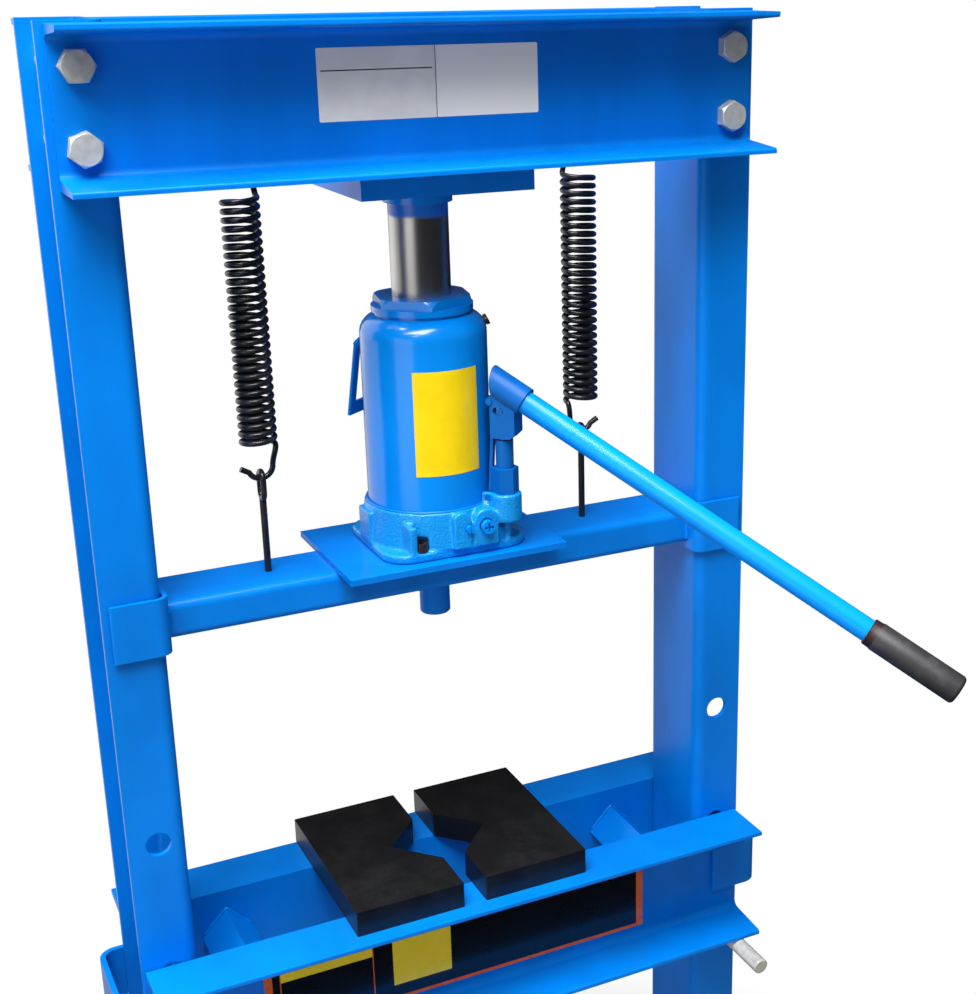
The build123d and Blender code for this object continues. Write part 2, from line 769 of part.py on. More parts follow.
def gland_nut():
    """Hexagonal nut with a round collar, screwed into the cylinder's mouth round the ram."""
    hex_bottom = collar_bottom + collar_height
    nut = Pos(0, 0, hex_bottom) * (Rot(0, 0, gland_hex_turn) * hexagon(gland_across_flats, gland_hex_height))
    nut &= Pos(0, 0, hex_bottom) * Cone(gland_across_flats * 0.6, gland_across_flats * 0.535, gland_hex_height,
                                        align=(Align.CENTER, Align.CENTER, Align.MIN))
    nut += upright(collar_diameter / 2, collar_bottom, hex_bottom)
    spigot = piston_diameter / 2 + piston_clearance
    nut += upright(spigot, collar_bottom - gland_thread_depth, collar_bottom)
    pocket_top = collar_bottom + cylinder_into_gland
    nut -= upright(cylinder_outer / 2, collar_bottom - 1, pocket_top) - upright(spigot, collar_bottom - 2, pocket_top + 1)
    return nut - upright(ram_diameter / 2 + ram_clearance, collar_bottom - 40, gland_top + 1)


def ram():
    """Plain ground rod with its piston head."""
    piston_top = gland_top - ram_below_gland
    rod = upright(ram_diameter / 2, piston_top - 1, ram_top)
    rod = chamfer(rod.edges().group_by(Axis.Z)[-1], 1.5)
    return rod + upright(piston_diameter / 2, piston_top - piston_height, piston_top)


def filler_place(shape):
    """On the reservoir's shoulder, pointing outwards and up."""
    height = collar_bottom - 14
    reach = reservoir_outer / 2 - 5
    return Rot(0, 0, -filler_plug_bearing) * Pos(reach, 0, height) * Rot(0, 62, 0) * shape


def filler_plug():
    stem = Pos(0, 0, -1.0) * Cylinder(filler_plug_diameter / 2 - 1, 10)
    head = Pos(0, 0, 5.4) * Cylinder(filler_plug_diameter / 2, 3)
    return filler_place(stem + head)


# Hand pump

barrel_top = pump_boss_top + pump_body_height + pump_barrel_height
plunger_pin_rise = barrel_top + tongue_rise
fork_half = tongue_thickness / 2 + cheek_gap
fork_outer = fork_half + cheek_thickness


def across_pin(radius, half_length, distance, rise):
    """A cylinder across the handle's plane."""
    return Pos(distance, 0, rise) * Rot(90, 0, 0) * Cylinder(radius, 2 * half_length)


def pump_barrel_part():
    body = Pos(pump_distance, 0, pump_boss_top) * (Rot(0, 0, 30) * hexagon(pump_body_across, pump_body_height))
    body += upright(pump_barrel / 2, pump_boss_top, barrel_top, pump_distance)
    body += upright(plunger / 2 + 1, pump_boss_top - 16, pump_boss_top, pump_distance)
    bore = plunger / 2 + plunger_clearance
    return in_pump_plane(body - upright(bore, pump_boss_top - 12, barrel_top + 1, pump_distance))


def pump_plunger():
    rod = upright(plunger / 2, pump_boss_top - 8, barrel_top + 3, pump_distance)
    tongue = block([pump_distance - 5, pump_distance + 5], [-tongue_thickness / 2, tongue_thickness / 2],
                   [barrel_top + 2, plunger_pin_rise])
    tongue += across_pin(5, tongue_thickness / 2, pump_distance, plunger_pin_rise)
    hole = across_pin(plunger_pin / 2, tongue_thickness, pump_distance, plunger_pin_rise)
    return in_pump_plane(rod + tongue - hole)


def plunger_pin_part():
    return in_pump_plane(across_pin(plunger_pin / 2, fork_outer, pump_distance, plunger_pin_rise))


def pump_link():
    """Narrow bar with an eye at each end, from the base to the handle socket's fulcrum."""
    foot = (link_foot_distance, link_foot_rise)
    fulcrum = (fulcrum_distance, fulcrum_rise)
    run, climb = fulcrum[0] - foot[0], fulcrum[1] - foot[1]
    half = link_across / 2
    middle = ((foot[0] + fulcrum[0]) / 2, 0, (foot[1] + fulcrum[1]) / 2)
    link = Pos(*middle) * Rot(0, degrees(atan2(run, climb)), 0) * Box(link_depth, link_across, hypot(run, climb))
    for distance, rise in (foot, fulcrum):
        link += along_y(link_eye / 2, -half, half, distance, rise)
    for distance, rise in (foot, fulcrum):
        link -= across_pin(link_pin / 2, half + 1, distance, rise)
    return one_solid(in_pump_plane(link))


def link_pins():
    """Plain pins of the link's two ends, the lower one in the base and the upper one in the fork."""
    foot = across_pin(link_pin / 2, link_seat_across / 2, link_foot_distance, link_foot_rise)
    fulcrum = across_pin(link_pin / 2, fork_outer + 1.5, fulcrum_distance, fulcrum_rise)
    return group([in_pump_plane(foot), in_pump_plane(fulcrum)])


def handle_axis_place(shape, from_mouth=0.0):
    """Lay a shape's Z axis along the handle's axis, starting a distance out from the socket's mouth."""
    out = from_mouth
    x = socket_mouth + out * cos(radians(handle_slope))
    z = socket_mouth_rise - out * sin(radians(handle_slope))
    return Pos(x, 0, z) * Rot(0, 90 + handle_slope, 0) * shape


def rod_along(radius, start, end):
    """A rod along the handle's axis between two distances from the socket's mouth."""
    return handle_axis_place(Pos(0, 0, (end - start) / 2) * Cylinder(radius, end - start), start)


def handle_socket():
    """Short tube with a fork under it: the fork takes the link's pin and, in a slot, the plunger's."""
    back = (socket_start - socket_mouth) / cos(radians(handle_slope)) - socket_outer
    body = rod_along(socket_outer / 2, back, 0)
    body &= block([socket_start, socket_mouth + socket_outer], [-40, 40], [0, 300])
    low = barrel_top + 2.0
    front = pump_distance + cheek_reach
    outline = Polyline(
        (fulcrum_distance - 0.5, low), (front - cheek_bevel, low), (front, low + cheek_bevel),
        (front, fulcrum_rise), (fulcrum_distance - 0.5, fulcrum_rise + 6), close=True)
    cheek = extrude(Plane.XZ * make_face(outline), fork_outer, both=True)
    body += cheek + across_pin(link_eye / 2, fork_outer, fulcrum_distance, fulcrum_rise)
    body -= block([fulcrum_distance - 20, pump_distance + 8], [-fork_half, fork_half], [low - 1, fulcrum_rise + 5.2])
    body -= rod_along(socket_inner / 2, back + socket_outer, 1)
    body -= across_pin(link_pin / 2 + 0.05, fork_outer + 1, fulcrum_distance, fulcrum_rise)
    slot_radius = plunger_pin / 2 + pin_play
    slot = across_pin(slot_radius, fork_outer + 1, pump_distance, plunger_pin_rise)
    slot += across_pin(slot_radius, fork_outer + 1, pump_distance - plunger_pin_slide, plunger_pin_rise)
    slot += block([pump_distance - plunger_pin_slide, pump_distance], [-fork_outer - 1, fork_outer + 1],
                  [plunger_pin_rise - slot_radius, plunger_pin_rise + slot_radius])
    return one_solid(in_pump_plane(body - slot))


def handle_tube():
    tube = rod_along(handle_diameter / 2, -handle_inside, handle_length - grip_overhang)
    return in_pump_plane(tube - rod_along(handle_diameter / 2 - handle_wall, -handle_inside - 1, handle_length))


def handle_grip():
    """Rubber sleeve over the handle's end, closed at the tip apart from a small vent."""
    start = handle_length - grip_length + grip_hole
    end = handle_length + grip_hole
    grip = rod_along(grip_diameter / 2, start, end)
    grip = fillet(grip.edges().filter_by(GeomType.CIRCLE), 3.0)
    grip -= rod_along(handle_diameter / 2, start - 1, handle_length - grip_overhang)
    return in_pump_plane(grip - rod_along(grip_hole / 2, start, end + 1))


# Release valve, relief screw and bail

def release_valve():
    """Spindle with a cross slot in its round head."""
    z = plate_top + valve_height
    spindle = along_y(valve_diameter / 2, -valve_front, -66.3, valve_x, z)
    spindle += along_y(valve_diameter / 2 - 1.0, -66.3, -46, valve_x, z)
    for size in ((9, 2), (2, 9)):
        spindle -= block([valve_x - size[0] / 2, valve_x + size[0] / 2], [-valve_front - 1, -valve_front + 2.5],
                         [z - size[1] / 2, z + size[1] / 2])
    return spindle


def relief_screw():
    z = plate_top + valve_height
    screw = along_y(relief_diameter / 2, -70, -50, relief_x, z)
    return screw - block([relief_x - 0.7, relief_x + 0.7], [-71, -68], [z - 4, z + 4])


def bail_place(shape):
    """Local frame of the bail: X is outwards from the reservoir, Y along the pivots, Z up."""
    reach = reservoir_outer / 2 + 5.0
    return Rot(0, 0, -bail_bearing) * Pos(reach, 0, plate_top + bail_pivot_rise) * shape


def carrying_bail():
    """Stamped strip bent to a U, with a turned-in pin at each pivot."""
    half = bail_width / 2
    thick = bail_thickness / 2
    strap = block([-thick, thick], [-half, half], [-bail_drop, 0])
    strap += along_x(bail_strip / 2, -thick, thick, half - bail_strip / 2, 0)
    strap += along_x(bail_strip / 2, -thick, thick, -half + bail_strip / 2, 0)
    strap -= block([-10, 10], [-half + bail_strip, half - bail_strip], [-bail_drop + bail_crossbar, 20])
    for side in (-1, 1):
        strap += along_y(bail_pivot_pin / 2, side * 3, side * (half - 2), 0, 0)
    return bail_place(Rot(0, -bail_tilt, 0) * strap)


# Bed

def front_bed_channel():
    """Bed channel with its back to the posts."""
    return front_channel(bed_length, bed_bottom, post_face_y + bed_running_gap)


def right_bed_strap():
    """Flat bar bent round the bed's end, welded on the webs of both channels."""
    web_front = post_face_y + bed_running_gap + channel_web
    side_y = web_front + strap_thickness / 2
    # The strap passes outside the post and outside the channels' square ends
    inner_x = max(post_outer_x + strap_clearance, bed_length / 2 + strap_corner)
    end_x = inner_x + strap_thickness / 2
    lap_x = bed_length / 2 - strap_lap + 6
    points = [(lap_x, -side_y), (end_x, -side_y), (end_x, side_y), (lap_x, side_y)]
    strip = bent_strip(points, strap_thickness, strap_corner - strap_thickness / 2)
    return Pos(0, 0, bed_bottom + strap_bottom_above_bed) * extrude(strip, strap_height)


def right_bed_spacer():
    """Angle laid corner up between the two channels and welded to their backs."""
    leg, wall = spacer_leg, spacer_thickness
    outline = Polyline((0, 0), (leg, 0), (leg, -wall), (wall, -wall), (wall, -leg), (0, -leg), close=True)
    half = post_face_y + bed_running_gap
    ridge = bed_top - spacer_ridge_below_top
    plane = Plane(origin=(spacer_centre, half, ridge), x_dir=(1, 0, 0), z_dir=(0, -1, 0))
    return extrude(plane * (Rot(0, 0, -45) * make_face(outline)), 2 * half)


def right_arbor_plate():
    """Thick plate with a vee notch facing the other plate."""
    near = arbor_gap / 2
    plate = block([near, near + arbor_width], [-arbor_length / 2, arbor_length / 2], [0, arbor_thickness])
    notch = Polyline((near - 1, notch_opening / 2), (near - 1, -notch_opening / 2),
                     (near + notch_depth, 0), close=True)
    plate -= Pos(0, notch_shift, 0) * extrude(make_face(notch), arbor_thickness)
    return chamfer(plate.edges().filter_by(Axis.Z), 0.8)


def place_arbor(plate):
    """Both plates lie a little left of the press's centre and towards the back."""
    return Pos(arbor_centre_x, arbor_shift, bed_top) * plate


def bed_pin(side):
    """Plain round pin through both flanges of a post, under the bed channels."""
    pin = along_y(pin_diameter / 2, -pin_length / 2, pin_length / 2, side * hole_line_x, pin_level)
    return chamfer(pin.edges().filter_by(GeomType.CIRCLE), pin_chamfer)


parts = {}


def build_parts():
    """Every piece by its node name."""
    parts["front_crossbeam"] = front_crossbeam()
    parts["rear_crossbeam"] = mirrored_y(parts["front_crossbeam"])
    parts["right_post"] = right_post()
    parts["left_post"] = mirrored_x(parts["right_post"])
    parts["crossbeam_bolts"] = crossbeam_bolts()
    parts["crossbeam_washers"] = crossbeam_washers()
    parts["crossbeam_nuts"] = crossbeam_nuts()
    parts["head_plate"] = head_plate()
    parts["head_seat_ring"] = head_seat_ring()
    parts["right_foot"] = right_foot()
    parts["left_foot"] = mirrored_x(parts["right_foot"])
    parts["right_front_brace"] = right_front_brace()
    parts["right_rear_brace"] = mirrored_y(parts["right_front_brace"])
    parts["left_front_brace"] = mirrored_x(parts["right_front_brace"])
    parts["left_rear_brace"] = mirrored_x(parts["right_rear_brace"])
    parts["lower_member"] = lower_member()
    parts["base_bolts"] = base_bolts()
    parts["base_nuts"] = base_nuts()
    parts["left_spring"] = spring(-1)
    parts["right_spring"] = spring(1)
    parts["left_spring_anchor"] = left_spring_anchor()
    parts["right_spring_anchor"] = mirrored_x(parts["left_spring_anchor"])
    parts["left_eye_rod"] = left_eye_rod()
    parts["right_eye_rod"] = mirrored_x(parts["left_eye_rod"])
    parts["eye_rod_nuts"] = eye_rod_nuts()
    parts["press_beam"] = press_beam()
    parts["right_guide"] = right_guide()
    parts["left_guide"] = mirrored_x(parts["right_guide"])
    parts["jack_plate"] = jack_plate()
    parts["press_stub"] = press_stub()
    parts["jack_base"] = jack_base()
    parts["jack_base_screws"] = jack_base_screws()
    parts["reservoir"] = reservoir()
    parts["bail_lugs"] = bail_lugs()
    parts["jack_cylinder"] = jack_cylinder()
    parts["gland_nut"] = gland_nut()
    parts["ram"] = ram()
    parts["filler_plug"] = filler_plug()
    parts["pump_barrel"] = pump_barrel_part()
    parts["pump_plunger"] = pump_plunger()
    parts["plunger_pin"] = plunger_pin_part()
    parts["pump_link"] = pump_link()
    parts["link_pins"] = link_pins()
    parts["handle_socket"] = handle_socket()
    parts["handle_tube"] = handle_tube()
    parts["handle_grip"] = handle_grip()
    parts["release_valve"] = release_valve()
    parts["relief_screw"] = relief_screw()
    parts["carrying_bail"] = carrying_bail()
    parts["front_bed_channel"] = front_bed_channel()
    parts["rear_bed_channel"] = mirrored_y(parts["front_bed_channel"])
    parts["right_bed_strap"] = right_bed_strap()
    parts["left_bed_strap"] = mirrored_x(parts["right_bed_strap"])
    parts["right_bed_spacer"] = right_bed_spacer()
    parts["left_bed_spacer"] = mirrored_x(parts["right_bed_spacer"])
    plate = right_arbor_plate()
    parts["right_arbor_plate"] = place_arbor(plate)
    parts["left_arbor_plate"] = place_arbor(mirrored_x(plate))
    parts["left_bed_pin"] = bed_pin(-1)
    parts["right_bed_pin"] = bed_pin(1)


if __name__ == "__main__":
    build_parts()
    os.makedirs("parts", exist_ok=True)
    for name, shape in parts.items():
        export_step(shape, f"parts/{name}.step")
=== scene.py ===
"""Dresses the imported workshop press: painted sections, jack, springs, lever, labels, welds and the studio."""
from __future__ import annotations

import logging
import math
from dataclasses import dataclass, field
from enum import Enum
from typing import Any, Iterable, Sequence

import bmesh
import bpy
from mathutils import Matrix, Vector


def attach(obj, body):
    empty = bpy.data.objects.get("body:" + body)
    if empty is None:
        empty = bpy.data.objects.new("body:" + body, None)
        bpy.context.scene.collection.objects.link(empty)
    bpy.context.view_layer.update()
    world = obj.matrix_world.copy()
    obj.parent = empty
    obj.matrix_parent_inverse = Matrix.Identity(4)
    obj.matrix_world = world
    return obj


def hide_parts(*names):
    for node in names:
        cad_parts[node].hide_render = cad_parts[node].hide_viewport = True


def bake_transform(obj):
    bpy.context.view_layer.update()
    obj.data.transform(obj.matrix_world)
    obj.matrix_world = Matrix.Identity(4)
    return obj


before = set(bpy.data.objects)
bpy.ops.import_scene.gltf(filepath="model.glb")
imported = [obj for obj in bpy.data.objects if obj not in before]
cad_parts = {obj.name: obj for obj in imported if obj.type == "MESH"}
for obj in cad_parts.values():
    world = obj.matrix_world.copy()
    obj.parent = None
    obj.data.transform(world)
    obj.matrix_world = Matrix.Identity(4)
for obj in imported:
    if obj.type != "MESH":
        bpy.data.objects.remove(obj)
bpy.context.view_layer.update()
LOG = logging.getLogger("press")

Point = tuple[float, float, float]
Colour = tuple[float, float, float]


def srgb(red: float, green: float, blue: float) -> Colour:
    """Linear colour from 8-bit display values.

    Args:
        red, green, blue: display values from 0 to 255.

    Returns:
        The same colour as linear red, green and blue.
    """
    def linear(value: float) -> float:
        """One channel."""
        share = value / 255
        return share / 12.92 if share <= 0.04045 else ((share + 0.055) / 1.055) ** 2.4
    return linear(red), linear(green), linear(blue)


# Node graphs

class Wire:
    """A socket that takes part in arithmetic: an expression adds Math nodes to its graph."""

    def __init__(self, graph: "Graph", socket: bpy.types.NodeSocket) -> None:
        """Wraps one output socket."""
        self.graph = graph
        self.socket = socket

    def _math(self, operation: str, *values: Any) -> "Wire":
        """A Math node with these operands."""
        return self.graph.node("ShaderNodeMath", {"operation": operation}, dict(enumerate(values)))

    def __add__(self, other: Any) -> "Wire":
        """self + other."""
        return self._math("ADD", self, other)

    __radd__ = __add__

    def __sub__(self, other: Any) -> "Wire":
        """self - other."""
        return self._math("SUBTRACT", self, other)

    def __rsub__(self, other: Any) -> "Wire":
        """other - self."""
        return self._math("SUBTRACT", other, self)

    def __mul__(self, other: Any) -> "Wire":
        """self * other."""
        return self._math("MULTIPLY", self, other)

    __rmul__ = __mul__

    def __lt__(self, other: Any) -> "Wire":
        """1 where self is below other."""
        return self._math("LESS_THAN", self, other)

    def __gt__(self, other: Any) -> "Wire":
        """1 where self is above other."""
        return self._math("GREATER_THAN", self, other)

    def highest(self, other: Any) -> "Wire":
        """The larger of two values."""
        return self._math("MAXIMUM", self, other)

    def ramp(self, low: float, high: float) -> "Wire":
        """Smooth step from 0 at low to 1 at high."""
        return self.graph.node("ShaderNodeMapRange", {"interpolation_type": "SMOOTHSTEP"},
                               {"Value": self, "From Min": low, "From Max": high})


class Graph:
    """One material's node tree, filled through a single node-making method."""

    def __init__(self, name: str) -> None:
        """Starts an empty material."""
        self.material = bpy.data.materials.new(name)
        self.material.use_nodes = True
        self.tree = self.material.node_tree
        self.tree.nodes.clear()

    def node(self, kind: str, settings: dict[str, Any] | None = None, inputs: dict[Any, Any] | None = None,
             output: int | str = 0) -> Wire:
        """Adds a node.

        Args:
            kind: the node's type name.
            settings: its own settings, which are set first.
            inputs: values or wires by socket name or number.
            output: which output the returned wire reads.

        Returns:
            The chosen output, ready for arithmetic.
        """
        made = self.tree.nodes.new(kind)
        for key, value in (settings or {}).items():
            setattr(made, key, value)
        for key, value in (inputs or {}).items():
            socket = made.inputs[key]
            if isinstance(value, Wire):
                self.tree.links.new(value.socket, socket)
            elif isinstance(value, tuple) and len(value) == 3 and socket.type == "RGBA":
                socket.default_value = (*value, 1)
            else:
                socket.default_value = value
        return Wire(self, made.outputs[output])

    def place(self) -> Wire:
        """Object coordinates in metres."""
        return self.node("ShaderNodeTexCoord", output="Object")

    def axes(self) -> tuple[Wire, Wire, Wire]:
        """Object coordinates as three numbers."""
        split = self.node("ShaderNodeSeparateXYZ", inputs={0: self.place()}).socket.node
        return tuple(Wire(self, socket) for socket in split.outputs)

    def noise(self, scale: float, detail: float = 2, stretch: Point | None = None,
              rough: float = 0.5) -> Wire:
        """Fractal noise from 0 to 1 on object coordinates, stretched by a factor along each axis."""
        where = self.place()
        if stretch:
            where = self.node("ShaderNodeMapping", inputs={"Vector": where, "Scale": stretch})
        return self.node("ShaderNodeTexNoise", inputs={
            "Vector": where, "Scale": scale, "Detail": detail, "Roughness": rough})

    def mix(self, share: Any, first: Any, second: Any) -> Wire:
        """Blend of two colours."""
        return self.node("ShaderNodeMix", {"data_type": "RGBA"}, {0: share, 6: first, 7: second}, output=2)

    def bump(self, height: Wire, depth: float, strength: float) -> Wire:
        """Surface normal raised by a height, in metres."""
        return self.node("ShaderNodeBump", inputs={"Height": height, "Distance": depth, "Strength": strength},
                         output="Normal")

    def shader(self, **sockets: Any) -> Wire:
        """A Principled shader; underscores in the names stand for spaces."""
        return self.node("ShaderNodeBsdfPrincipled",
                         inputs={name.replace("_", " "): value for name, value in sockets.items()})

    def done(self, surface: Wire) -> bpy.types.Material:
        """Ends the material with this surface."""
        output = self.tree.nodes.new("ShaderNodeOutputMaterial")
        self.tree.links.new(surface.socket, output.inputs["Surface"])
        return self.material


# Finishes

class Sheet(Enum):
    """What lies under the paint, and how uneven it is."""

    ROLLED = (0.00012, 55.0)
    DRAWN = (0.00005, 90.0)
    CAST = (0.0016, 480.0)


@dataclass(frozen=True)
class Enamel:
    """Sprayed glossy enamel with a little orange peel, drift in tone and fine dust."""

    name: str
    colour: Colour
    sheet: Sheet = Sheet.ROLLED
    roughness: float = 0.32
    coat: float = 0.03
    drift: float = 0.08
    specular: float = 0.14

    def build(self) -> bpy.types.Material:
        """Makes the material."""
        graph = Graph(self.name)
        depth, grain = self.sheet.value
        cloud = graph.noise(5.0, 3)
        streak = graph.noise(26.0, 3, (1, 1, 0.25))
        shade = tuple(c * (1 - 2.2 * self.drift) for c in self.colour)
        light = tuple(min(1.0, c * (1 + self.drift)) for c in self.colour)
        tone = graph.mix((cloud * 0.65 + streak * 0.35).ramp(0.32, 0.68), shade, light)
        dust = graph.noise(1500.0, 1).ramp(0.70, 0.78) * graph.noise(60.0, 2).ramp(0.5, 0.7)
        tone = graph.mix(dust * 0.16, tone, (0.42, 0.55, 0.70))
        height = graph.noise(grain, 3) + 0.12 * graph.noise(1300.0, 1)
        normal = graph.bump(height, depth, 0.7)
        gloss = self.roughness + 0.14 * (cloud - 0.5) + 0.2 * dust
        return graph.done(graph.shader(Base_Color=tone, Roughness=gloss, Normal=normal, Coat_Weight=self.coat,
                                       Coat_Roughness=0.12, Specular_IOR_Level=self.specular))


@dataclass(frozen=True)
class BlackCoat:
    """Thin black paint or oxide on steel, greyer where it is rubbed."""

    name: str
    colour: Colour = (0.0035, 0.0036, 0.0042)
    rubbed: Colour = (0.0075, 0.0075, 0.008)
    roughness: float = 0.42
    grain: float = 180.0
    depth: float = 0.0001

    def build(self) -> bpy.types.Material:
        """Makes the material."""
        graph = Graph(self.name)
        patch = graph.noise(32.0, 4, rough=0.62)
        fine = graph.noise(self.grain, 3)
        specks = graph.noise(900.0, 1).ramp(0.69, 0.75)
        tone = graph.mix(patch.ramp(0.42, 0.72), self.colour, self.rubbed)
        tone = graph.mix(specks * 0.3, tone, (0.06, 0.06, 0.06))
        return graph.done(graph.shader(
            Base_Color=tone, Roughness=self.roughness + 0.22 * (patch - 0.5) + 0.15 * specks,
            Normal=graph.bump(fine, self.depth, 0.6), Coat_Weight=0.1, Coat_Roughness=0.3))


@dataclass(frozen=True)
class Plating:
    """Bright zinc on turned or pressed steel."""

    name: str
    colour: Colour = (0.62, 0.62, 0.56)
    roughness: float = 0.4
    metallic: float = 0.35

    def build(self) -> bpy.types.Material:
        """Makes the material."""
        graph = Graph(self.name)
        cloud = graph.noise(140.0, 3)
        tone = graph.mix(cloud.ramp(0.3, 0.7), tuple(c * 0.82 for c in self.colour), self.colour)
        return graph.done(graph.shader(
            Base_Color=tone, Metallic=self.metallic, Roughness=self.roughness + 0.2 * (cloud - 0.4),
            Normal=graph.bump(graph.noise(700.0, 2), 0.00006, 0.5)))


@dataclass(frozen=True)
class GroundRod:
    """Ground and polished steel with fine rings, painted reflection as light and dark lengthwise streaks in its
    colour, and spray that has strayed on its upper end.
    """

    name: str = "ground_ram"
    spray_from: float = 1.336
    paint: Colour = srgb(2, 105, 205)

    def build(self) -> bpy.types.Material:
        """Makes the material."""
        graph = Graph(self.name)
        rings = graph.noise(260.0, 3, (0.06, 0.06, 6.0))
        # Painted reflection: this lengthwise-stretched noise streaks the steel's colour between dark and light,
        # standing in for the stripes it would mirror.
        cloud = graph.noise(38.0, 3, (1, 1, 0.3))
        steel = graph.shader(
            Base_Color=graph.mix(cloud, (0.34, 0.33, 0.32), (0.62, 0.61, 0.59)), Metallic=0.95,
            Roughness=0.24 + 0.14 * rings, Normal=graph.bump(rings, 0.00004, 0.6))
        painted = graph.shader(Base_Color=self.paint, Roughness=0.35, Coat_Weight=0.3)
        height = graph.axes()[2] + 0.005 * (graph.noise(90.0, 3) - 0.5)
        spray = height.ramp(self.spray_from - 0.002, self.spray_from + 0.0015)
        return graph.done(graph.node("ShaderNodeMixShader", inputs={0: spray, 1: steel, 2: painted}))


@dataclass(frozen=True)
class GripRubber:
    """Moulded rubber with a fine stipple, scuffed grey in places, and a red-brown band at its start."""

    name: str = "grip_rubber"
    along: Point = (0.5852, -0.6500, -0.4848)
    band_end: float = -0.12322
    stipple: float = 1500.0

    def build(self) -> bpy.types.Material:
        """Makes the material."""
        graph = Graph(self.name)
        stipple = graph.node("ShaderNodeTexVoronoi", {"feature": "F1"}, {
            "Vector": graph.place(), "Scale": self.stipple})
        scuff = graph.noise(70.0, 4, rough=0.65).ramp(0.45, 0.75)
        x, y, z = graph.axes()
        run = self.along[0] * x + self.along[1] * y + self.along[2] * z
        tone = graph.mix(scuff, (0.024, 0.024, 0.027), (0.042, 0.042, 0.047))
        return graph.done(graph.shader(
            Base_Color=graph.mix(run < self.band_end, tone, (0.022, 0.007, 0.006)),
            Roughness=0.42 + 0.15 * stipple, Normal=graph.bump(stipple, 0.00008, 0.6)))


@dataclass(frozen=True)
class Field:
    """A plain rectangle of colour on a label, in the two coordinates that cross it."""

    low: tuple[float, float]
    high: tuple[float, float]
    colour: Colour


@dataclass(frozen=True)
class Printed:
    """Glossy vinyl label: a ground colour with plain fields on it, read along two axes of its own map."""

    name: str
    ground: Colour
    fields: tuple[Field, ...] = ()
    roughness: float = 0.28
    metallic: float = 0.0

    def build(self) -> bpy.types.Material:
        """Makes the material."""
        graph = Graph(self.name)
        split = graph.node("ShaderNodeSeparateXYZ", inputs={
            0: graph.node("ShaderNodeUVMap", {"uv_map": "label"})}).socket.node
        across, up = Wire(graph, split.outputs[0]), Wire(graph, split.outputs[1])
        cloud = graph.noise(45.0, 3)
        tone: Any = graph.mix(cloud.ramp(0.35, 0.7), tuple(c * 0.93 for c in self.ground), self.ground)
        for spot in self.fields:
            level = (up > spot.low[1]) * (up < spot.high[1])
            inside = (across > spot.low[0]) * (across < spot.high[0]) * level
            tone = graph.mix(inside, tone, spot.colour)
        return graph.done(graph.shader(
            Base_Color=tone, Metallic=self.metallic, Roughness=self.roughness + 0.15 * (cloud - 0.5),
            Normal=graph.bump(graph.noise(30.0, 2), 0.00015, 0.5), Coat_Weight=0.3, Coat_Roughness=0.1))


BLUE = srgb(0, 117, 212)
BRIGHT_BLUE = srgb(0, 138, 236)
CAST_BLUE = srgb(4, 138, 214)
JACK_BLUE = srgb(0, 130, 224)
PUMP_BLUE = srgb(0, 92, 172)


class Finishes:
    """Every finish that the press needs, built once."""

    def __init__(self) -> None:
        """Builds the materials."""
        self.frame_blue = Enamel("frame_blue", BLUE).build()
        self.jack_blue = Enamel("jack_blue", JACK_BLUE, Sheet.DRAWN, 0.2, 0.35, 0.07, 0.4).build()
        self.pump_blue = Enamel("pump_blue", PUMP_BLUE, Sheet.DRAWN, 0.42, 0.03, 0.08, 0.2).build()
        self.lever_blue = Enamel("lever_blue", BRIGHT_BLUE, Sheet.DRAWN, 0.3, 0.2, 0.06).build()
        self.cast_blue = Enamel("cast_blue", CAST_BLUE, Sheet.CAST, 0.28, 0.3, 0.10, 0.4).build()
        self.weld_blue = Enamel("weld_blue", BLUE, Sheet.ROLLED, 0.3, 0.2, 0.12).build()
        self.black_paint = BlackCoat("black_paint").build()
        self.spring_black = BlackCoat(
            "spring_black", (0.008, 0.008, 0.009), (0.02, 0.02, 0.022), 0.3, 260.0).build()
        self.black_screw = BlackCoat("black_screw", (0.022, 0.014, 0.012), (0.06, 0.038, 0.034), 0.26).build()
        self.zinc = Plating("zinc_plate").build()
        self.steel = Plating("plain_steel", (0.42, 0.42, 0.43), 0.34, 1.0).build()
        self.ram = GroundRod().build()
        self.rubber = GripRubber().build()


# Meshes

def mesh_object(name: str, vertices: Sequence[Point], faces: Sequence[Sequence[int]],
                material: bpy.types.Material, smooth: bool = True) -> bpy.types.Object:
    """A new mesh object at the origin.

    Args:
        name: the piece's name.
        vertices: its points in the row frame, in metres.
        faces: point numbers of each face.
        material: its only material.
        smooth: whether faces shade smoothly.

    Returns:
        The linked object.
    """
    mesh = bpy.data.meshes.new(name)
    mesh.from_pydata([tuple(v) for v in vertices], [], [tuple(f) for f in faces])
    mesh.materials.append(material)
    for polygon in mesh.polygons:
        polygon.use_smooth = smooth
    made = bpy.data.objects.new(name, mesh)
    bpy.context.collection.objects.link(made)
    return made


def bake(source: bpy.types.Object, name: str) -> bpy.types.Object:
    """A plain mesh object with the source's modifiers applied; the source is deleted."""
    bpy.context.view_layer.update()
    graph = bpy.context.evaluated_depsgraph_get()
    mesh = bpy.data.meshes.new_from_object(source.evaluated_get(graph))
    made = bpy.data.objects.new(name, mesh)
    bpy.context.collection.objects.link(made)
    bpy.data.objects.remove(source)
    return made


def turn_out(piece: bpy.types.Object) -> None:
    """Points a closed shell's faces outwards."""
    shell = bmesh.new()
    shell.from_mesh(piece.data)
    bmesh.ops.recalc_face_normals(shell, faces=shell.faces)
    shell.to_mesh(piece.data)
    shell.free()


def smooth_by_angle(piece: bpy.types.Object, degrees: float = 32.0) -> None:
    """Shades smooth with edges sharper than an angle kept crisp."""
    mesh = piece.data
    for polygon in mesh.polygons:
        polygon.use_smooth = True
    mesh.set_sharp_from_angle(angle=math.radians(degrees))


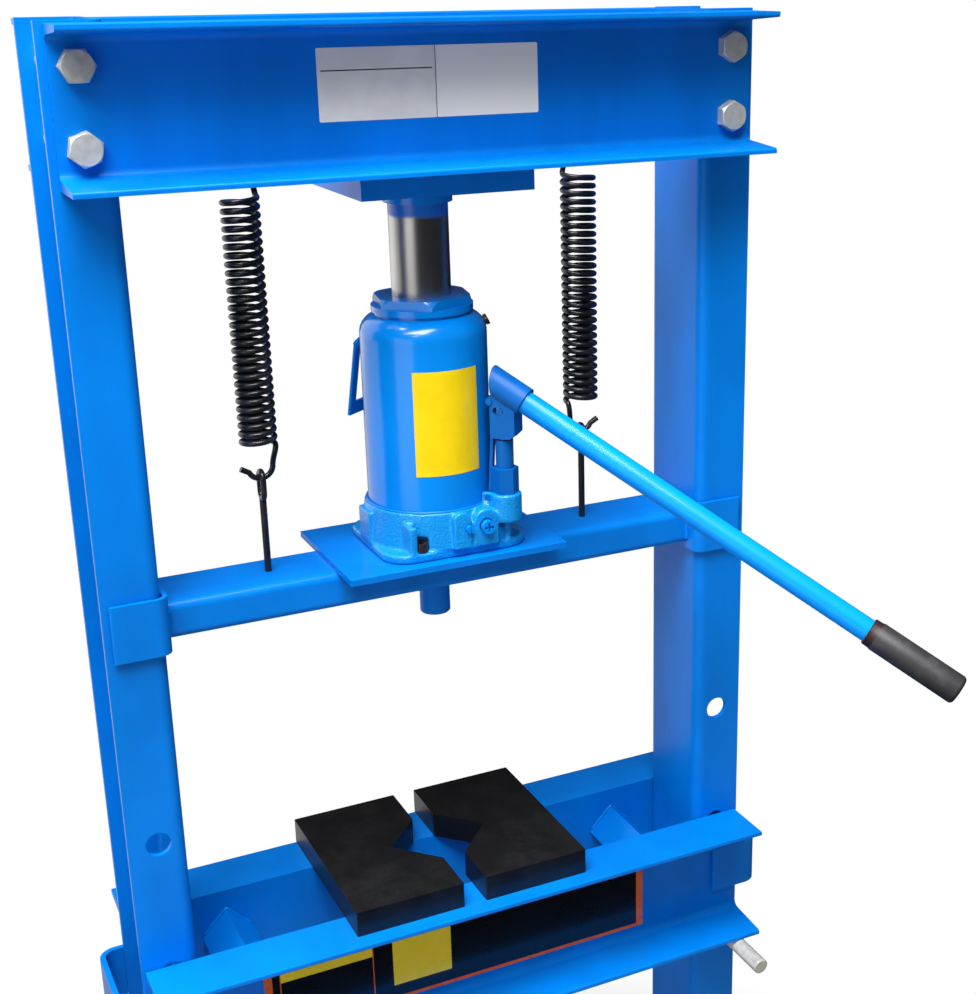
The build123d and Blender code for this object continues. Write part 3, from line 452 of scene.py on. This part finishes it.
class Tree:
    """A Geometry Nodes tree built in the script."""

    def __init__(self, name: str, inputs: Sequence[tuple[str, str, Any]]) -> None:
        """Starts a tree with a geometry input and output and these named inputs."""
        self.group = bpy.data.node_groups.new(name, "GeometryNodeTree")
        self.group.interface.new_socket("Geometry", in_out="INPUT", socket_type="NodeSocketGeometry")
        self.idents: dict[str, str] = {}
        for label, kind, value in inputs:
            made = self.group.interface.new_socket(label, in_out="INPUT", socket_type=kind)
            if value is not None:
                made.default_value = value
            self.idents[label] = made.identifier
        self.group.interface.new_socket("Geometry", in_out="OUTPUT", socket_type="NodeSocketGeometry")
        self.source = self.group.nodes.new("NodeGroupInput")
        self.sink = self.group.nodes.new("NodeGroupOutput")

    def add(self, kind: str, settings: dict[str, Any] | None = None, **inputs: Any) -> bpy.types.Node:
        """Adds a node; each input is named after its socket, with underscores for spaces."""
        made = self.group.nodes.new(kind)
        for key, value in (settings or {}).items():
            setattr(made, key, value)
        for key, value in inputs.items():
            socket = made.inputs[int(key[1:])] if key[0] == "_" else made.inputs[key.replace("_", " ")]
            if isinstance(value, bpy.types.NodeSocket):
                self.group.links.new(value, socket)
            else:
                socket.default_value = value
        return made

    def given(self, label: str) -> bpy.types.NodeSocket:
        """The tree's own input of that name."""
        return self.source.outputs[label]

    def end(self, geometry: bpy.types.NodeSocket) -> None:
        """Realizes instances, sets the material and closes the tree."""
        real = self.add("GeometryNodeRealizeInstances", Geometry=geometry)
        dressed = self.add("GeometryNodeSetMaterial", Geometry=real.outputs[0], Material=self.given("Finish"))
        self.group.links.new(dressed.outputs[0], self.sink.inputs[0])

    def apply(self, piece: bpy.types.Object, name: str, **values: Any) -> bpy.types.Object:
        """Runs the tree on a piece and returns the plain mesh that it makes."""
        modifier = piece.modifiers.new("tree", "NODES")
        modifier.node_group = self.group
        for label, value in values.items():
            modifier[self.idents[label.replace("_", " ")]] = value
        return bake(piece, name)


def guide_curve(name: str, runs: Iterable[Sequence[Point]], closed: bool = False) -> bpy.types.Object:
    """A curve object of straight-sided runs, used as the input of a tree."""
    curve = bpy.data.curves.new(name, "CURVE")
    curve.dimensions = "3D"
    for run in runs:
        spline = curve.splines.new("POLY")
        spline.points.add(len(run) - 1)
        for point, place in zip(spline.points, run):
            point.co = (*place, 1)
        spline.use_cyclic_u = closed
    made = bpy.data.objects.new(name, curve)
    bpy.context.collection.objects.link(made)
    return made


def wire_tree() -> Tree:
    """Round wire that follows curves, closed at its ends."""
    tree = Tree("round_wire", [("Wire radius", "NodeSocketFloat", 0.0025), ("Sides", "NodeSocketInt", 10),
                               ("Finish", "NodeSocketMaterial", None)])
    profile = tree.add("GeometryNodeCurvePrimitiveCircle", Resolution=tree.given("Sides"),
                       Radius=tree.given("Wire radius"))
    body = tree.add("GeometryNodeCurveToMesh", Curve=tree.given("Geometry"), Profile_Curve=profile.outputs[0],
                    Fill_Caps=True)
    tree.end(tree.add("GeometryNodeSetShadeSmooth", Geometry=body.outputs[0]).outputs[0])
    return tree


def bead_tree() -> Tree:
    """Weld bead along curves: a low round ridge with overlapping ripples of uneven width."""
    tree = Tree("weld_bead", [
        ("Bead radius", "NodeSocketFloat", 0.003), ("Ripple", "NodeSocketFloat", 0.0022),
        ("Unevenness", "NodeSocketFloat", 0.22), ("Seed", "NodeSocketInt", 4),
        ("Finish", "NodeSocketMaterial", None)])
    fine = tree.add("GeometryNodeResampleCurve", {"mode": "LENGTH"}, Curve=tree.given("Geometry"),
                    Length=0.0011)
    place = tree.add("GeometryNodeSplineParameter")
    turns = tree.add("ShaderNodeMath", {"operation": "DIVIDE"}, _0=place.outputs["Length"],
                     _1=tree.given("Ripple"))
    part = tree.add("ShaderNodeMath", {"operation": "FRACT"}, _0=turns.outputs[0])
    seeded = tree.add("ShaderNodeTexNoise", {"noise_dimensions": "4D"}, Scale=160.0, Detail=1.0,
                      W=tree.add("ShaderNodeMath", {"operation": "MULTIPLY"}, _0=tree.given("Seed"),
                                 _1=3.7).outputs[0])
    rough = tree.add("ShaderNodeMath", {"operation": "MULTIPLY"}, _0=seeded.outputs[0],
                     _1=tree.given("Unevenness"))
    ripple = tree.add("ShaderNodeMath", {"operation": "MULTIPLY"}, _0=part.outputs[0], _1=0.16)
    total = tree.add("ShaderNodeMath", {"operation": "ADD"}, _0=ripple.outputs[0], _1=rough.outputs[0])
    width = tree.add("ShaderNodeMath", {"operation": "ADD"}, _0=total.outputs[0], _1=0.75)
    profile = tree.add("GeometryNodeCurvePrimitiveCircle", Resolution=8, Radius=tree.given("Bead radius"))
    body = tree.add("GeometryNodeCurveToMesh", Curve=fine.outputs[0], Profile_Curve=profile.outputs[0],
                    Fill_Caps=True, Scale=width.outputs[0])
    tree.end(tree.add("GeometryNodeSetShadeSmooth", Geometry=body.outputs[0]).outputs[0])
    return tree


# Sub-assemblies

@dataclass
class FrameDress:
    """Finishes of every carried-over solid."""

    finishes: Finishes
    black_nodes: tuple[str, ...] = ("left_eye_rod", "right_eye_rod", "eye_rod_nuts")
    plate_nodes: tuple[str, ...] = ("left_arbor_plate", "right_arbor_plate")
    zinc_nodes: tuple[str, ...] = (
        "crossbeam_bolts", "crossbeam_nuts", "crossbeam_washers", "base_bolts", "base_nuts", "left_bed_pin",
        "right_bed_pin")
    steel_nodes: tuple[str, ...] = ("jack_cylinder", "pump_plunger")
    screw_nodes: tuple[str, ...] = ("jack_base_screws", "filler_plug")
    cast_nodes: tuple[str, ...] = ("jack_base",)
    jack_nodes: tuple[str, ...] = (
        "reservoir", "gland_nut", "bail_lugs", "carrying_bail", "head_seat_ring", "release_valve",
        "relief_screw")
    pump_nodes: tuple[str, ...] = ("pump_barrel", "pump_link", "link_pins", "plunger_pin", "handle_socket")
    eased: tuple[tuple[str, float], ...] = (
        ("jack_plate", 0.0008), ("head_plate", 0.0010), ("left_arbor_plate", 0.0008),
        ("right_arbor_plate", 0.0008), ("left_guide", 0.0006), ("right_guide", 0.0006),
        ("left_bed_strap", 0.0007), ("right_bed_strap", 0.0007), ("gland_nut", 0.0006),
        ("carrying_bail", 0.0004), ("handle_socket", 0.0006), ("pump_barrel", 0.0005))

    def ease(self) -> None:
        """Rounds the plainer solids' sharp edges a little, as sawn and sheared steel has under paint."""
        for name, width in self.eased:
            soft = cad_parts[name].modifiers.new("eased_edges", "BEVEL")
            soft.width, soft.segments, soft.limit_method = width, 2, "ANGLE"
            soft.angle_limit = math.radians(38)
            soft.use_clamp_overlap = True
            soft.harden_normals = True

    def dress(self) -> None:
        """Gives every node its finish and eases the plainer ones' edges."""
        chosen = {}
        for names, material in (
                (self.black_nodes, self.finishes.spring_black), (self.plate_nodes, self.finishes.black_paint),
                (self.zinc_nodes, self.finishes.zinc), (self.steel_nodes, self.finishes.steel),
                (self.screw_nodes, self.finishes.black_screw), (self.cast_nodes, self.finishes.cast_blue),
                (self.jack_nodes, self.finishes.jack_blue), (("ram",), self.finishes.ram),
                (self.pump_nodes, self.finishes.pump_blue),
                (("handle_tube",), self.finishes.lever_blue), (("handle_grip",), self.finishes.rubber)):
            chosen.update({name: material for name in names})
        for name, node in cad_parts.items():
            node.data.materials.clear()
            node.data.materials.append(chosen.get(name, self.finishes.frame_blue))
        self.ease()
        LOG.info("dressed %d nodes", len(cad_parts))


@dataclass
class Springs:
    """The two return springs, bent from one wire each."""

    finishes: Finishes
    wires: Tree
    centre_x: float = 0.154
    outer: float = 0.033
    wire: float = 0.005
    top: float = 1.360
    bottom: float = 1.150
    turns: int = 29
    steps: int = 26
    hook_drop: float = 0.030
    hook_radius: float = 0.011
    flare: float = 0.009
    stretch_from: float = 1.362
    stretch_to: float = 1.136

    def hook(self) -> list[Vector]:
        """Points of the lower hook from its flared tip round to the coil's side, below the coil's end."""
        middle = Vector((0, 0, -self.hook_drop + self.hook_radius))
        ring = [middle + self.hook_radius * Vector((math.cos(a), 0, math.sin(a)))
                for a in (math.radians(205 + 155 * n / 22) for n in range(23))]
        tip = ring[0] + Vector((-self.flare * 0.8, 0, self.flare * 0.45))
        return [tip, tip.lerp(ring[0], 0.5)] + ring

    def joined(self, start: Vector, start_way: Vector, end: Vector, end_way: Vector) -> list[Vector]:
        """Inner points of a smooth bend between two ends."""
        pull = (end - start).length * 1.1
        points = []
        for n in range(1, 10):
            t = n / 10
            points.append((2 * t ** 3 - 3 * t ** 2 + 1) * start + (t ** 3 - 2 * t ** 2 + t) * pull * start_way
                          + (-2 * t ** 3 + 3 * t ** 2) * end + (t ** 3 - t ** 2) * pull * end_way)
        return points

    def path(self) -> list[Vector]:
        """Centre line of the left spring's wire about its own axis."""
        radius = (self.outer - self.wire) / 2
        height = self.top - self.bottom
        count = self.turns * self.steps
        coil = []
        for n in range(count + 1):
            angle = 2 * math.pi * n / self.steps
            coil.append(Vector((radius * math.cos(angle), radius * math.sin(angle),
                                self.bottom + height * n / count)))
        low = [Vector((p.x, p.y, p.z + self.bottom)) for p in self.hook()]
        high = [Vector((p.x, -p.y, self.top - p.z)) for p in self.hook()]
        way = (coil[1] - coil[0]).normalized()
        low_join = self.joined(low[-1], (low[-1] - low[-2]).normalized(), coil[0], way)
        last = (coil[-1] - coil[-2]).normalized()
        high_join = self.joined(coil[-1], last, high[-1], (high[-2] - high[-1]).normalized())
        return low + low_join + coil + high_join + high[::-1]

    def build(self) -> None:
        """Makes both springs; each stands for its solid."""
        line = self.path()
        for side, name in ((-1, "left"), (1, "right")):
            run = [(side * (p.x - self.centre_x), p.y, p.z) for p in line]
            guide = guide_curve(f"{name}_spring_line", [run])
            piece = self.wires.apply(guide, f"{name}_spring_wire", Wire_radius=self.wire / 2, Sides=12,
                                     Finish=self.finishes.spring_black)
            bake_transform(piece)
            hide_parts(f"{name}_spring")
            LOG.info("%s", piece.name)


@dataclass
class Labels:
    """Plain labels: on the crossbeam, on the bed and round the jack."""

    film: float = 0.00025
    glue: float = 0.00002
    corner: float = 0.0015

    def plate(self, name: str, x: tuple[float, float], z: tuple[float, float], y: float, finish: Printed,
              body: str) -> None:
        """A thin flat label on a face that looks to the front.

        Args:
            name: the piece's name.
            x, z: its extent in metres.
            y: the face that it is stuck to.
            finish: its print, in metres from its lower left corner.
            body: the body it rides on.
        """
        outline = []
        for cx, cz, start in ((x[1], z[1], 0), (x[0], z[1], 90), (x[0], z[0], 180), (x[1], z[0], 270)):
            sx, sz = (-1 if cx == x[1] else 1), (-1 if cz == z[1] else 1)
            for n in range(5):
                angle = math.radians(start + 90 * n / 4)
                outline.append((cx + sx * self.corner + self.corner * math.cos(angle),
                                cz + sz * self.corner + self.corner * math.sin(angle)))
        count = len(outline)
        vertices = [(px, y - self.film, pz) for px, pz in outline] + [(px, y, pz) for px, pz in outline]
        faces = [tuple(range(count)), tuple(range(2 * count - 1, count - 1, -1))]
        faces += [(n, n + count, (n + 1) % count + count, (n + 1) % count) for n in range(count)]
        piece = mesh_object(name, vertices, faces, finish.build(), smooth=False)
        turn_out(piece)
        self.chart(piece, lambda p: (p.x - x[0], p.z - z[0]))
        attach(piece, body)
        LOG.info("%s", name)

    @staticmethod
    def chart(piece: bpy.types.Object, place: Any) -> None:
        """Writes a map named label from a function of each point."""
        layer = piece.data.uv_layers.new(name="label")
        for loop in piece.data.loops:
            layer.data[loop.index].uv = place(piece.data.vertices[loop.vertex_index].co)

    def wrapped(self, name: str, radius: float, bearings: tuple[float, float], z: tuple[float, float],
                finish: Printed) -> None:
        """A label wrapped round the jack's upright axis, between two bearings from +X towards the front."""
        steps = 28
        vertices = []
        for reach in (radius + self.film, radius + self.glue):
            for level in z:
                for n in range(steps + 1):
                    angle = math.radians(bearings[0] + (bearings[1] - bearings[0]) * n / steps)
                    vertices.append((reach * math.cos(angle), -reach * math.sin(angle), level))
        row = steps + 1
        faces = []
        for n in range(steps):
            faces.append((n, n + 1, n + 1 + row, n + row))
            faces.append((2 * row + n, 3 * row + n, 3 * row + n + 1, 2 * row + n + 1))
            faces.append((n, 2 * row + n, 2 * row + n + 1, n + 1))
            faces.append((row + n, row + n + 1, 3 * row + n + 1, 3 * row + n))
        for n in (0, steps):
            faces.append((n, row + n, 3 * row + n, 2 * row + n))
        piece = mesh_object(name, vertices, faces, finish.build())
        turn_out(piece)
        smooth_by_angle(piece)
        width = radius * math.radians(abs(bearings[1] - bearings[0]))

        def place(point: Vector) -> tuple[float, float]:
            """Distance along the wrap from its left edge, and height above its lower edge."""
            turned = abs(math.atan2(-point.y, point.x) - math.radians(bearings[0]))
            return width - radius * turned, point.z - z[0]
        self.chart(piece, place)
        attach(piece, "press_beam")
        LOG.info("%s", name)

    def build(self) -> None:
        """Makes every label."""
        silver, white, black = (0.92, 0.86, 0.74), (1.0, 0.93, 0.80), (0.006, 0.006, 0.007)
        orange, yellow = srgb(232, 98, 30), srgb(248, 214, 12)
        rule = (0.03, 0.03, 0.035)
        self.plate("crossbeam_label", (-0.099, 0.0915), (1.421, 1.4778), -0.053, Printed(
            "silver_label", silver, (
                Field((0.0997, 0.0), (0.2, 0.06), white),
                Field((0.003, 0.0388), (0.0965, 0.0398), rule), Field((0.0990, 0.0), (0.0997, 0.06), rule)),
            0.34, 0.1), "frame")
        width, height = 0.393, 0.0905
        edge, side = 0.0036, 0.0075
        self.plate("bed_label", (-0.202, 0.191), (0.5995, 0.690), -0.054, Printed(
            "bed_print", orange, (
                Field((side, edge), (width - side, height + 1), black),
                Field((0.0145, 0.006), (0.1045, 0.0785), orange),
                Field((0.0155, 0.007), (0.1035, 0.0775), black),
                Field((0.0155, 0.0545), (0.1035, 0.0775), yellow),
                Field((0.1235, 0.0160), (0.1825, 0.080), yellow))), "bed")
        self.wrapped("jack_label", 0.056, (59.3, 122.3), (1.115, 1.2085), Printed(
            "yellow_label", srgb(240, 208, 4), (), 0.3))


@dataclass
class Welds:
    """Beads where the real press is welded."""

    finishes: Finishes
    beads: Tree
    seed: int = 3
    fine: float = 0.0022
    medium: float = 0.0024
    head_plate_underside: float = 1.3595
    beam_underside: float = 1.0012
    crossbeam_underside: float = 1.3795
    beam_corner: float = 1.034
    beam_side: float = 0.0352
    guide_x: float = 0.2505
    strap_x: float = 0.2755
    spacer_x: float = 0.208
    spacer_peak: float = 0.681
    anchor: tuple[float, float] = (0.154, 1.382)
    anchor_radius: float = 0.0052
    post_inner_x: float = 0.2555
    foot_top: float = 0.0405

    def seam(self, name: str, body: str, runs: Iterable[Sequence[Point]], radius: float = 0.0028,
             closed: bool = False) -> None:
        """One piece with a bead along each run."""
        self.seed += 1
        guide = guide_curve(f"{name}_line", runs, closed)
        piece = self.beads.apply(guide, name, Bead_radius=radius, Seed=self.seed,
                                 Finish=self.finishes.weld_blue)
        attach(piece, body)
        LOG.info("%s", name)

    @staticmethod
    def ring(radius: float, z: float, steps: int = 40) -> list[Point]:
        """A level ring about the ram's axis."""
        return [(radius * math.cos(2 * math.pi * n / steps), radius * math.sin(2 * math.pi * n / steps), z)
                for n in range(steps)]

    def build(self) -> None:
        """Makes every bead."""
        self.seam("seat_ring_bead", "frame", [self.ring(0.0305, self.head_plate_underside)], self.fine, True)
        self.seam("nose_bead", "press_beam", [self.ring(0.0145, self.beam_underside)], self.fine, True)
        self.seam("cup_rim_bead", "press_beam", [self.ring(0.0572, 1.0820, steps=72)], 0.0014, True)
        self.seam("head_plate_beads", "frame", [
            [(x, y, self.crossbeam_underside) for x in (-0.07, 0.07)] for y in (-0.0755, 0.0755)], self.fine)
        self.seam("jack_plate_beads", "press_beam", [
            [(x, y, self.beam_corner) for x in (start, start + 0.05)]
            for y in (-0.0355, 0.0355) for start in (-0.09, 0.04)])
        for side in (-1, 1):
            tag = "left" if side < 0 else "right"
            self.seam(f"{tag}_guide_beads", "press_beam", [
                [(side * self.guide_x, -self.beam_side, z) for z in (1.006, 1.028)],
                [(side * self.guide_x, self.beam_side, z) for z in (1.006, 1.028)],
                [(side * self.guide_x, y, 1.0345) for y in (-0.028, 0.028)]])
            self.seam(f"{tag}_strap_beads", "bed", [
                [(side * self.strap_x, y, z) for z in (0.620, 0.662)]
                for y in (-0.0545, 0.0545)], self.medium)
            self.seam(f"{tag}_spacer_beads", "bed", [
                [(side * (self.spacer_x + dx), y, self.spacer_peak - abs(dx)) for dx in (-0.022, 0.0, 0.022)]
                for y in (-0.0488, 0.0488)], self.medium)
            self.seam(f"{tag}_anchor_beads", "frame", [
                [(side * self.anchor[0] + self.anchor_radius * math.cos(a), y,
                  self.anchor[1] + self.anchor_radius * math.sin(a))
                 for a in (2 * math.pi * n / 14 for n in range(14))]
                for y in (-0.0478, 0.0478)], 0.0016, True)
            self.seam(f"{tag}_post_beads", "frame", [
                [(side * self.post_inner_x, y, self.foot_top) for y in (-0.038, 0.038)],
                *([(side * x, y, self.foot_top) for x in (0.262, 0.304)] for y in (-0.0485, 0.0485))], 0.003)


@dataclass
class CastBase:
    """The jack's base casting with the soft corners that a sand casting has."""

    finishes: Finishes
    voxel: float = 0.0011
    rounds: int = 14
    flange_top: float = 1.048
    cup_top: float = 1.0815
    seat_radius: float = 0.0565
    cup_radius: tuple[float, float] = (0.0625, 0.0595)
    screw_bearing: float = -120.3
    screw_cover: float = 1.0605

    @staticmethod
    def brick(shell: bmesh.types.BMesh, low: Sequence[Point], high: Sequence[Point]) -> None:
        """Adds a six-sided lump between four lower and four upper corners."""
        under, over = ([shell.verts.new(corner) for corner in ring] for ring in (low, high))
        shell.faces.new(under[::-1])
        shell.faces.new(over)
        for n in range(4):
            shell.faces.new((under[n], under[(n + 1) % 4], over[(n + 1) % 4], over[n]))

    def wall(self, shell: bmesh.types.BMesh, steps: int = 6, spread: float = 9.5) -> None:
        """Closes the cup's wall over the head of the front screw."""
        def corner(outer: bool, degrees: float, z: float) -> Point:
            """A point of the wall, on its tapered outside or at the shell's seat."""
            share = (z - self.flange_top) / (self.cup_top - self.flange_top)
            radius = self.cup_radius[0] + share * (self.cup_radius[1] - self.cup_radius[0])
            radius, angle = radius if outer else self.seat_radius, math.radians(degrees)
            return radius * math.cos(angle), radius * math.sin(angle), z
        for n in range(steps):
            first, last = (self.screw_bearing + spread * (2 * m / steps - 1) for m in (n, n + 1))
            plan = ((False, first), (True, first), (True, last), (False, last))
            self.brick(shell, [corner(*spot, self.screw_cover) for spot in plan],
                       [corner(*spot, self.cup_top) for spot in plan])

    def ridges(self, shell: bmesh.types.BMesh) -> None:
        """Fills the valley between the two ears and runs a ridge down to the foot's right corner."""
        for plan, tops in (
                (((0.010, -0.064), (0.018, -0.064), (0.018, -0.045), (0.010, -0.045)), (1.0715,) * 4),
                (((0.036, -0.064), (0.067, -0.049), (0.067, -0.045), (0.036, -0.059)),
                 (1.066, 1.0495, 1.0495, 1.066))):
            self.brick(shell, [(x, y, self.flange_top - 0.002) for x, y in plan],
                       [(x, y, z) for (x, y), z in zip(plan, tops)])

    def build(self) -> None:
        """Remeshes a copy of the solid, softens it and lets it stand for the node."""
        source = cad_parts["jack_base"]
        mesh = source.data.copy()
        shell = bmesh.new()
        shell.from_mesh(mesh)
        bmesh.ops.remove_doubles(shell, verts=shell.verts, dist=0.00002)
        self.wall(shell)
        self.ridges(shell)
        bmesh.ops.recalc_face_normals(shell, faces=shell.faces)
        shell.to_mesh(mesh)
        shell.free()
        rough = bpy.data.objects.new("jack_base_rough", mesh)
        bpy.context.collection.objects.link(rough)
        remesh = rough.modifiers.new("voxels", "REMESH")
        remesh.mode = "VOXEL"
        remesh.voxel_size = self.voxel
        soften = rough.modifiers.new("soften", "SMOOTH")
        soften.factor = 0.5
        soften.iterations = self.rounds
        piece = bake(rough, "jack_base_casting")
        piece.data.materials.clear()
        piece.data.materials.append(self.finishes.cast_blue)
        for polygon in piece.data.polygons:
            polygon.use_smooth = True
        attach(piece, "press_beam")
        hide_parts("jack_base")
        LOG.info("%s: %d faces", piece.name, len(piece.data.polygons))


@dataclass
class LeverDress:
    """The lever's moulded sleeve, turned as one profile about the lever's axis."""

    finishes: Finishes
    bearing: float = 48.0
    slope: float = 29.0
    mouth: tuple[float, float] = (0.0964, 1.1764)
    start: float = 0.355
    end: float = 0.445
    bore: float = 0.01025
    collar: float = 0.0123
    swell: float = 0.0130
    crown: float = 0.0034
    vent: float = 0.0030
    sides: int = 72

    def profile(self) -> list[tuple[float, float]]:
        """The sleeve's section as distance along the lever and radius, from the bore's start to the vent."""
        points = [(self.start + 0.0006, self.bore + 0.0002), (self.start, 0.0112),
                  (self.start + 0.0008, 0.0121), (self.start + 0.0072, self.collar),
                  (self.start + 0.0086, 0.0129)]
        points += [(self.end - self.crown + self.crown * math.sin(a),
                    self.swell - self.crown + self.crown * math.cos(a))
                   for a in (math.radians(15 * n) for n in range(7))]
        points += [(self.end - 0.0001, 0.0088), (self.end - 0.0010, 0.0080),
                   (self.end - 0.0012, 0.0040), (self.end - 0.0018, 0.0032),
                   (self.end - 0.0060, self.vent), (self.end - 0.0060, self.bore)]
        return points

    def build(self) -> None:
        """Makes the sleeve; it stands for its solid."""
        turn, fall = math.radians(self.bearing), math.radians(self.slope)
        out = Vector((math.cos(turn) * math.cos(fall), -math.sin(turn) * math.cos(fall), -math.sin(fall)))
        side = Vector((math.sin(turn), math.cos(turn), 0))
        over = out.cross(side)
        origin = Vector((self.mouth[0] * math.cos(turn), -self.mouth[0] * math.sin(turn), self.mouth[1]))
        profile = self.profile()
        vertices = []
        for n in range(self.sides):
            angle = 2 * math.pi * n / self.sides
            spoke = math.cos(angle) * side + math.sin(angle) * over
            vertices += [tuple(origin + along * out + radius * spoke) for along, radius in profile]
        count = len(profile)
        faces = []
        for n in range(self.sides):
            here, there = n * count, (n + 1) % self.sides * count
            faces += [(here + m, here + (m + 1) % count, there + (m + 1) % count, there + m)
                      for m in range(count)]
        piece = mesh_object("lever_sleeve", vertices, faces, self.finishes.rubber)
        turn_out(piece)
        smooth_by_angle(piece, 40)
        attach(piece, "pump_handle")
        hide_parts("handle_grip")
        LOG.info("%s", piece.name)


@dataclass
class Studio:
    """Floor, light and the camera at the photograph's place."""

    eye: Point = (-0.4894, -1.2966, 1.5345)
    yaw: float = 27.73
    pitch: float = 18.29
    roll: float = -0.29
    lens: float = 57.49
    shift: tuple[float, float] = (-0.1296, -0.0026)
    world_level: float = 0.17
    mirrored_level: float = 0.04
    card_level: float = 1.5
    floor_reach: float = 9.0
    lamps: tuple[tuple[str, Point, Point, tuple[float, float], float], ...] = field(default=(
        ("top_softbox", (-0.68, -0.72, 3.4), (0.0, 0.0, 1.0), (1.9, 1.9), 200.0),
        ("left_softbox", (-2.75, -1.75, 0.9), (0.0, 0.0, 1.1), (2.0, 2.6), 20.0),
        ("high_spot", (-1.5, -2.1, 2.9), (0.0, 0.0, 1.2), (0.4, 0.4), 6.0)))

    def camera(self) -> None:
        """Places the camera."""
        yaw, pitch, roll = (math.radians(a) for a in (self.yaw, self.pitch, self.roll))
        ahead = Vector((math.sin(yaw) * math.cos(pitch), math.cos(yaw) * math.cos(pitch), -math.sin(pitch)))
        right = Vector((math.cos(yaw), -math.sin(yaw), 0))
        up = right.cross(ahead)
        tilted_right = math.cos(roll) * right + math.sin(roll) * up
        tilted_up = math.cos(roll) * up - math.sin(roll) * right
        data = bpy.data.cameras.new("camera")
        data.sensor_width = 36
        data.lens = self.lens
        data.shift_x, data.shift_y = self.shift
        data.clip_end = 60
        made = bpy.data.objects.new("camera", data)
        axes = Matrix((tilted_right, tilted_up, -ahead)).transposed().to_4x4()
        made.matrix_world = Matrix.Translation(self.eye) @ axes
        bpy.context.collection.objects.link(made)
        bpy.context.scene.camera = made

    def light(self) -> None:
        """Places the soft lamps and the world, which is brighter to the camera than to the press."""
        for name, place, aim, size, power in self.lamps:
            data = bpy.data.lights.new(name, "AREA")
            data.shape, data.energy = "RECTANGLE", power
            data.size, data.size_y = size
            made = bpy.data.objects.new(name, data)
            made.location = place
            made.rotation_euler = (Vector(aim) - Vector(place)).to_track_quat("-Z", "Y").to_euler()
            bpy.context.collection.objects.link(made)
        world = bpy.data.worlds.new("studio")
        bpy.context.scene.world = world
        world.use_nodes = True
        tree = world.node_tree
        tree.nodes.clear()
        path = tree.nodes.new("ShaderNodeLightPath")
        level: Any = self.world_level
        for ray, strength in (("Is Glossy Ray", self.mirrored_level), ("Is Transmission Ray", 1.0),
                              ("Is Camera Ray", 1.0)):
            chosen = tree.nodes.new("ShaderNodeMapRange")
            tree.links.new(path.outputs[ray], chosen.inputs["Value"])
            if isinstance(level, float):
                chosen.inputs["To Min"].default_value = level
            else:
                tree.links.new(level, chosen.inputs["To Min"])
            chosen.inputs["To Max"].default_value = strength
            level = chosen.outputs[0]
        glow = tree.nodes.new("ShaderNodeBackground")
        glow.inputs["Color"].default_value = (1, 1, 1, 1)
        tree.links.new(level, glow.inputs["Strength"])
        out = tree.nodes.new("ShaderNodeOutputWorld")
        tree.links.new(glow.outputs[0], out.inputs["Surface"])

    def floor(self) -> None:
        """A pale floor that is white to the camera away from the press, and a soft sweep in reflections."""
        graph = Graph("studio_floor")
        card = graph.shader(Base_Color=(0.5, 0.5, 0.51), Roughness=0.75)
        glow = graph.node("ShaderNodeEmission", inputs={"Color": (1.0, 1.0, 1.0), "Strength": 1.0})
        path = graph.node("ShaderNodeLightPath").socket.node
        x, y, _ = graph.axes()
        watched = Wire(graph, path.outputs["Is Camera Ray"]) * (0.45 + 0.55 * (x * x + y * y).ramp(0.25, 0.8))
        mirrored = Wire(graph, path.outputs["Is Glossy Ray"])
        lit = graph.node("ShaderNodeMixShader", inputs={0: watched, 1: card, 2: glow})
        sweep = graph.node("ShaderNodeEmission", inputs={
            "Color": (1.0, 1.0, 1.0), "Strength": y.ramp(0.2, 1.6) * (1 - x.ramp(-0.6, 0.8))})
        mixed = graph.node("ShaderNodeMixShader", inputs={0: mirrored, 1: lit, 2: sweep})
        size = self.floor_reach
        piece = mesh_object("floor", [(-size, -size, 0), (size, -size, 0), (size, size, 0), (-size, size, 0)],
                            [(0, 1, 2, 3)], graph.done(mixed), smooth=False)

    def backdrop(self) -> None:
        """A white card behind on the left, which gives faces seen at a slant their pale sheen."""
        graph = Graph("studio_card")
        path = graph.node("ShaderNodeLightPath").socket.node
        mirrored, watched = (Wire(graph, path.outputs[ray]) for ray in ("Is Glossy Ray", "Is Camera Ray"))
        seen = (mirrored * self.card_level).highest(watched)
        card = graph.node("ShaderNodeEmission", inputs={
            "Color": (1.0, 1.0, 1.0), "Strength": seen.highest(self.world_level)})
        piece = mesh_object("card", [(-6.5, 4.2, 0), (-0.6, 5.0, 0), (-0.6, 5.0, 6), (-6.5, 4.2, 6)],
                            [(0, 1, 2, 3)], graph.done(card), smooth=False)

    def build(self) -> None:
        """Makes the whole studio."""
        self.camera()
        self.light()
        self.floor()
        self.backdrop()
        bpy.context.scene.view_settings.view_transform = "Standard"
        LOG.info("studio")


def main() -> None:
    """Builds the sub-assemblies in order."""
    logging.basicConfig(level=logging.INFO, format="%(name)s: %(message)s")
    Studio().build()
    finishes = Finishes()
    FrameDress(finishes).dress()
    CastBase(finishes).build()
    Springs(finishes, wire_tree()).build()
    LeverDress(finishes).build()
    Labels().build()
    Welds(finishes, bead_tree()).build()


if __name__ == "__main__":
    main()
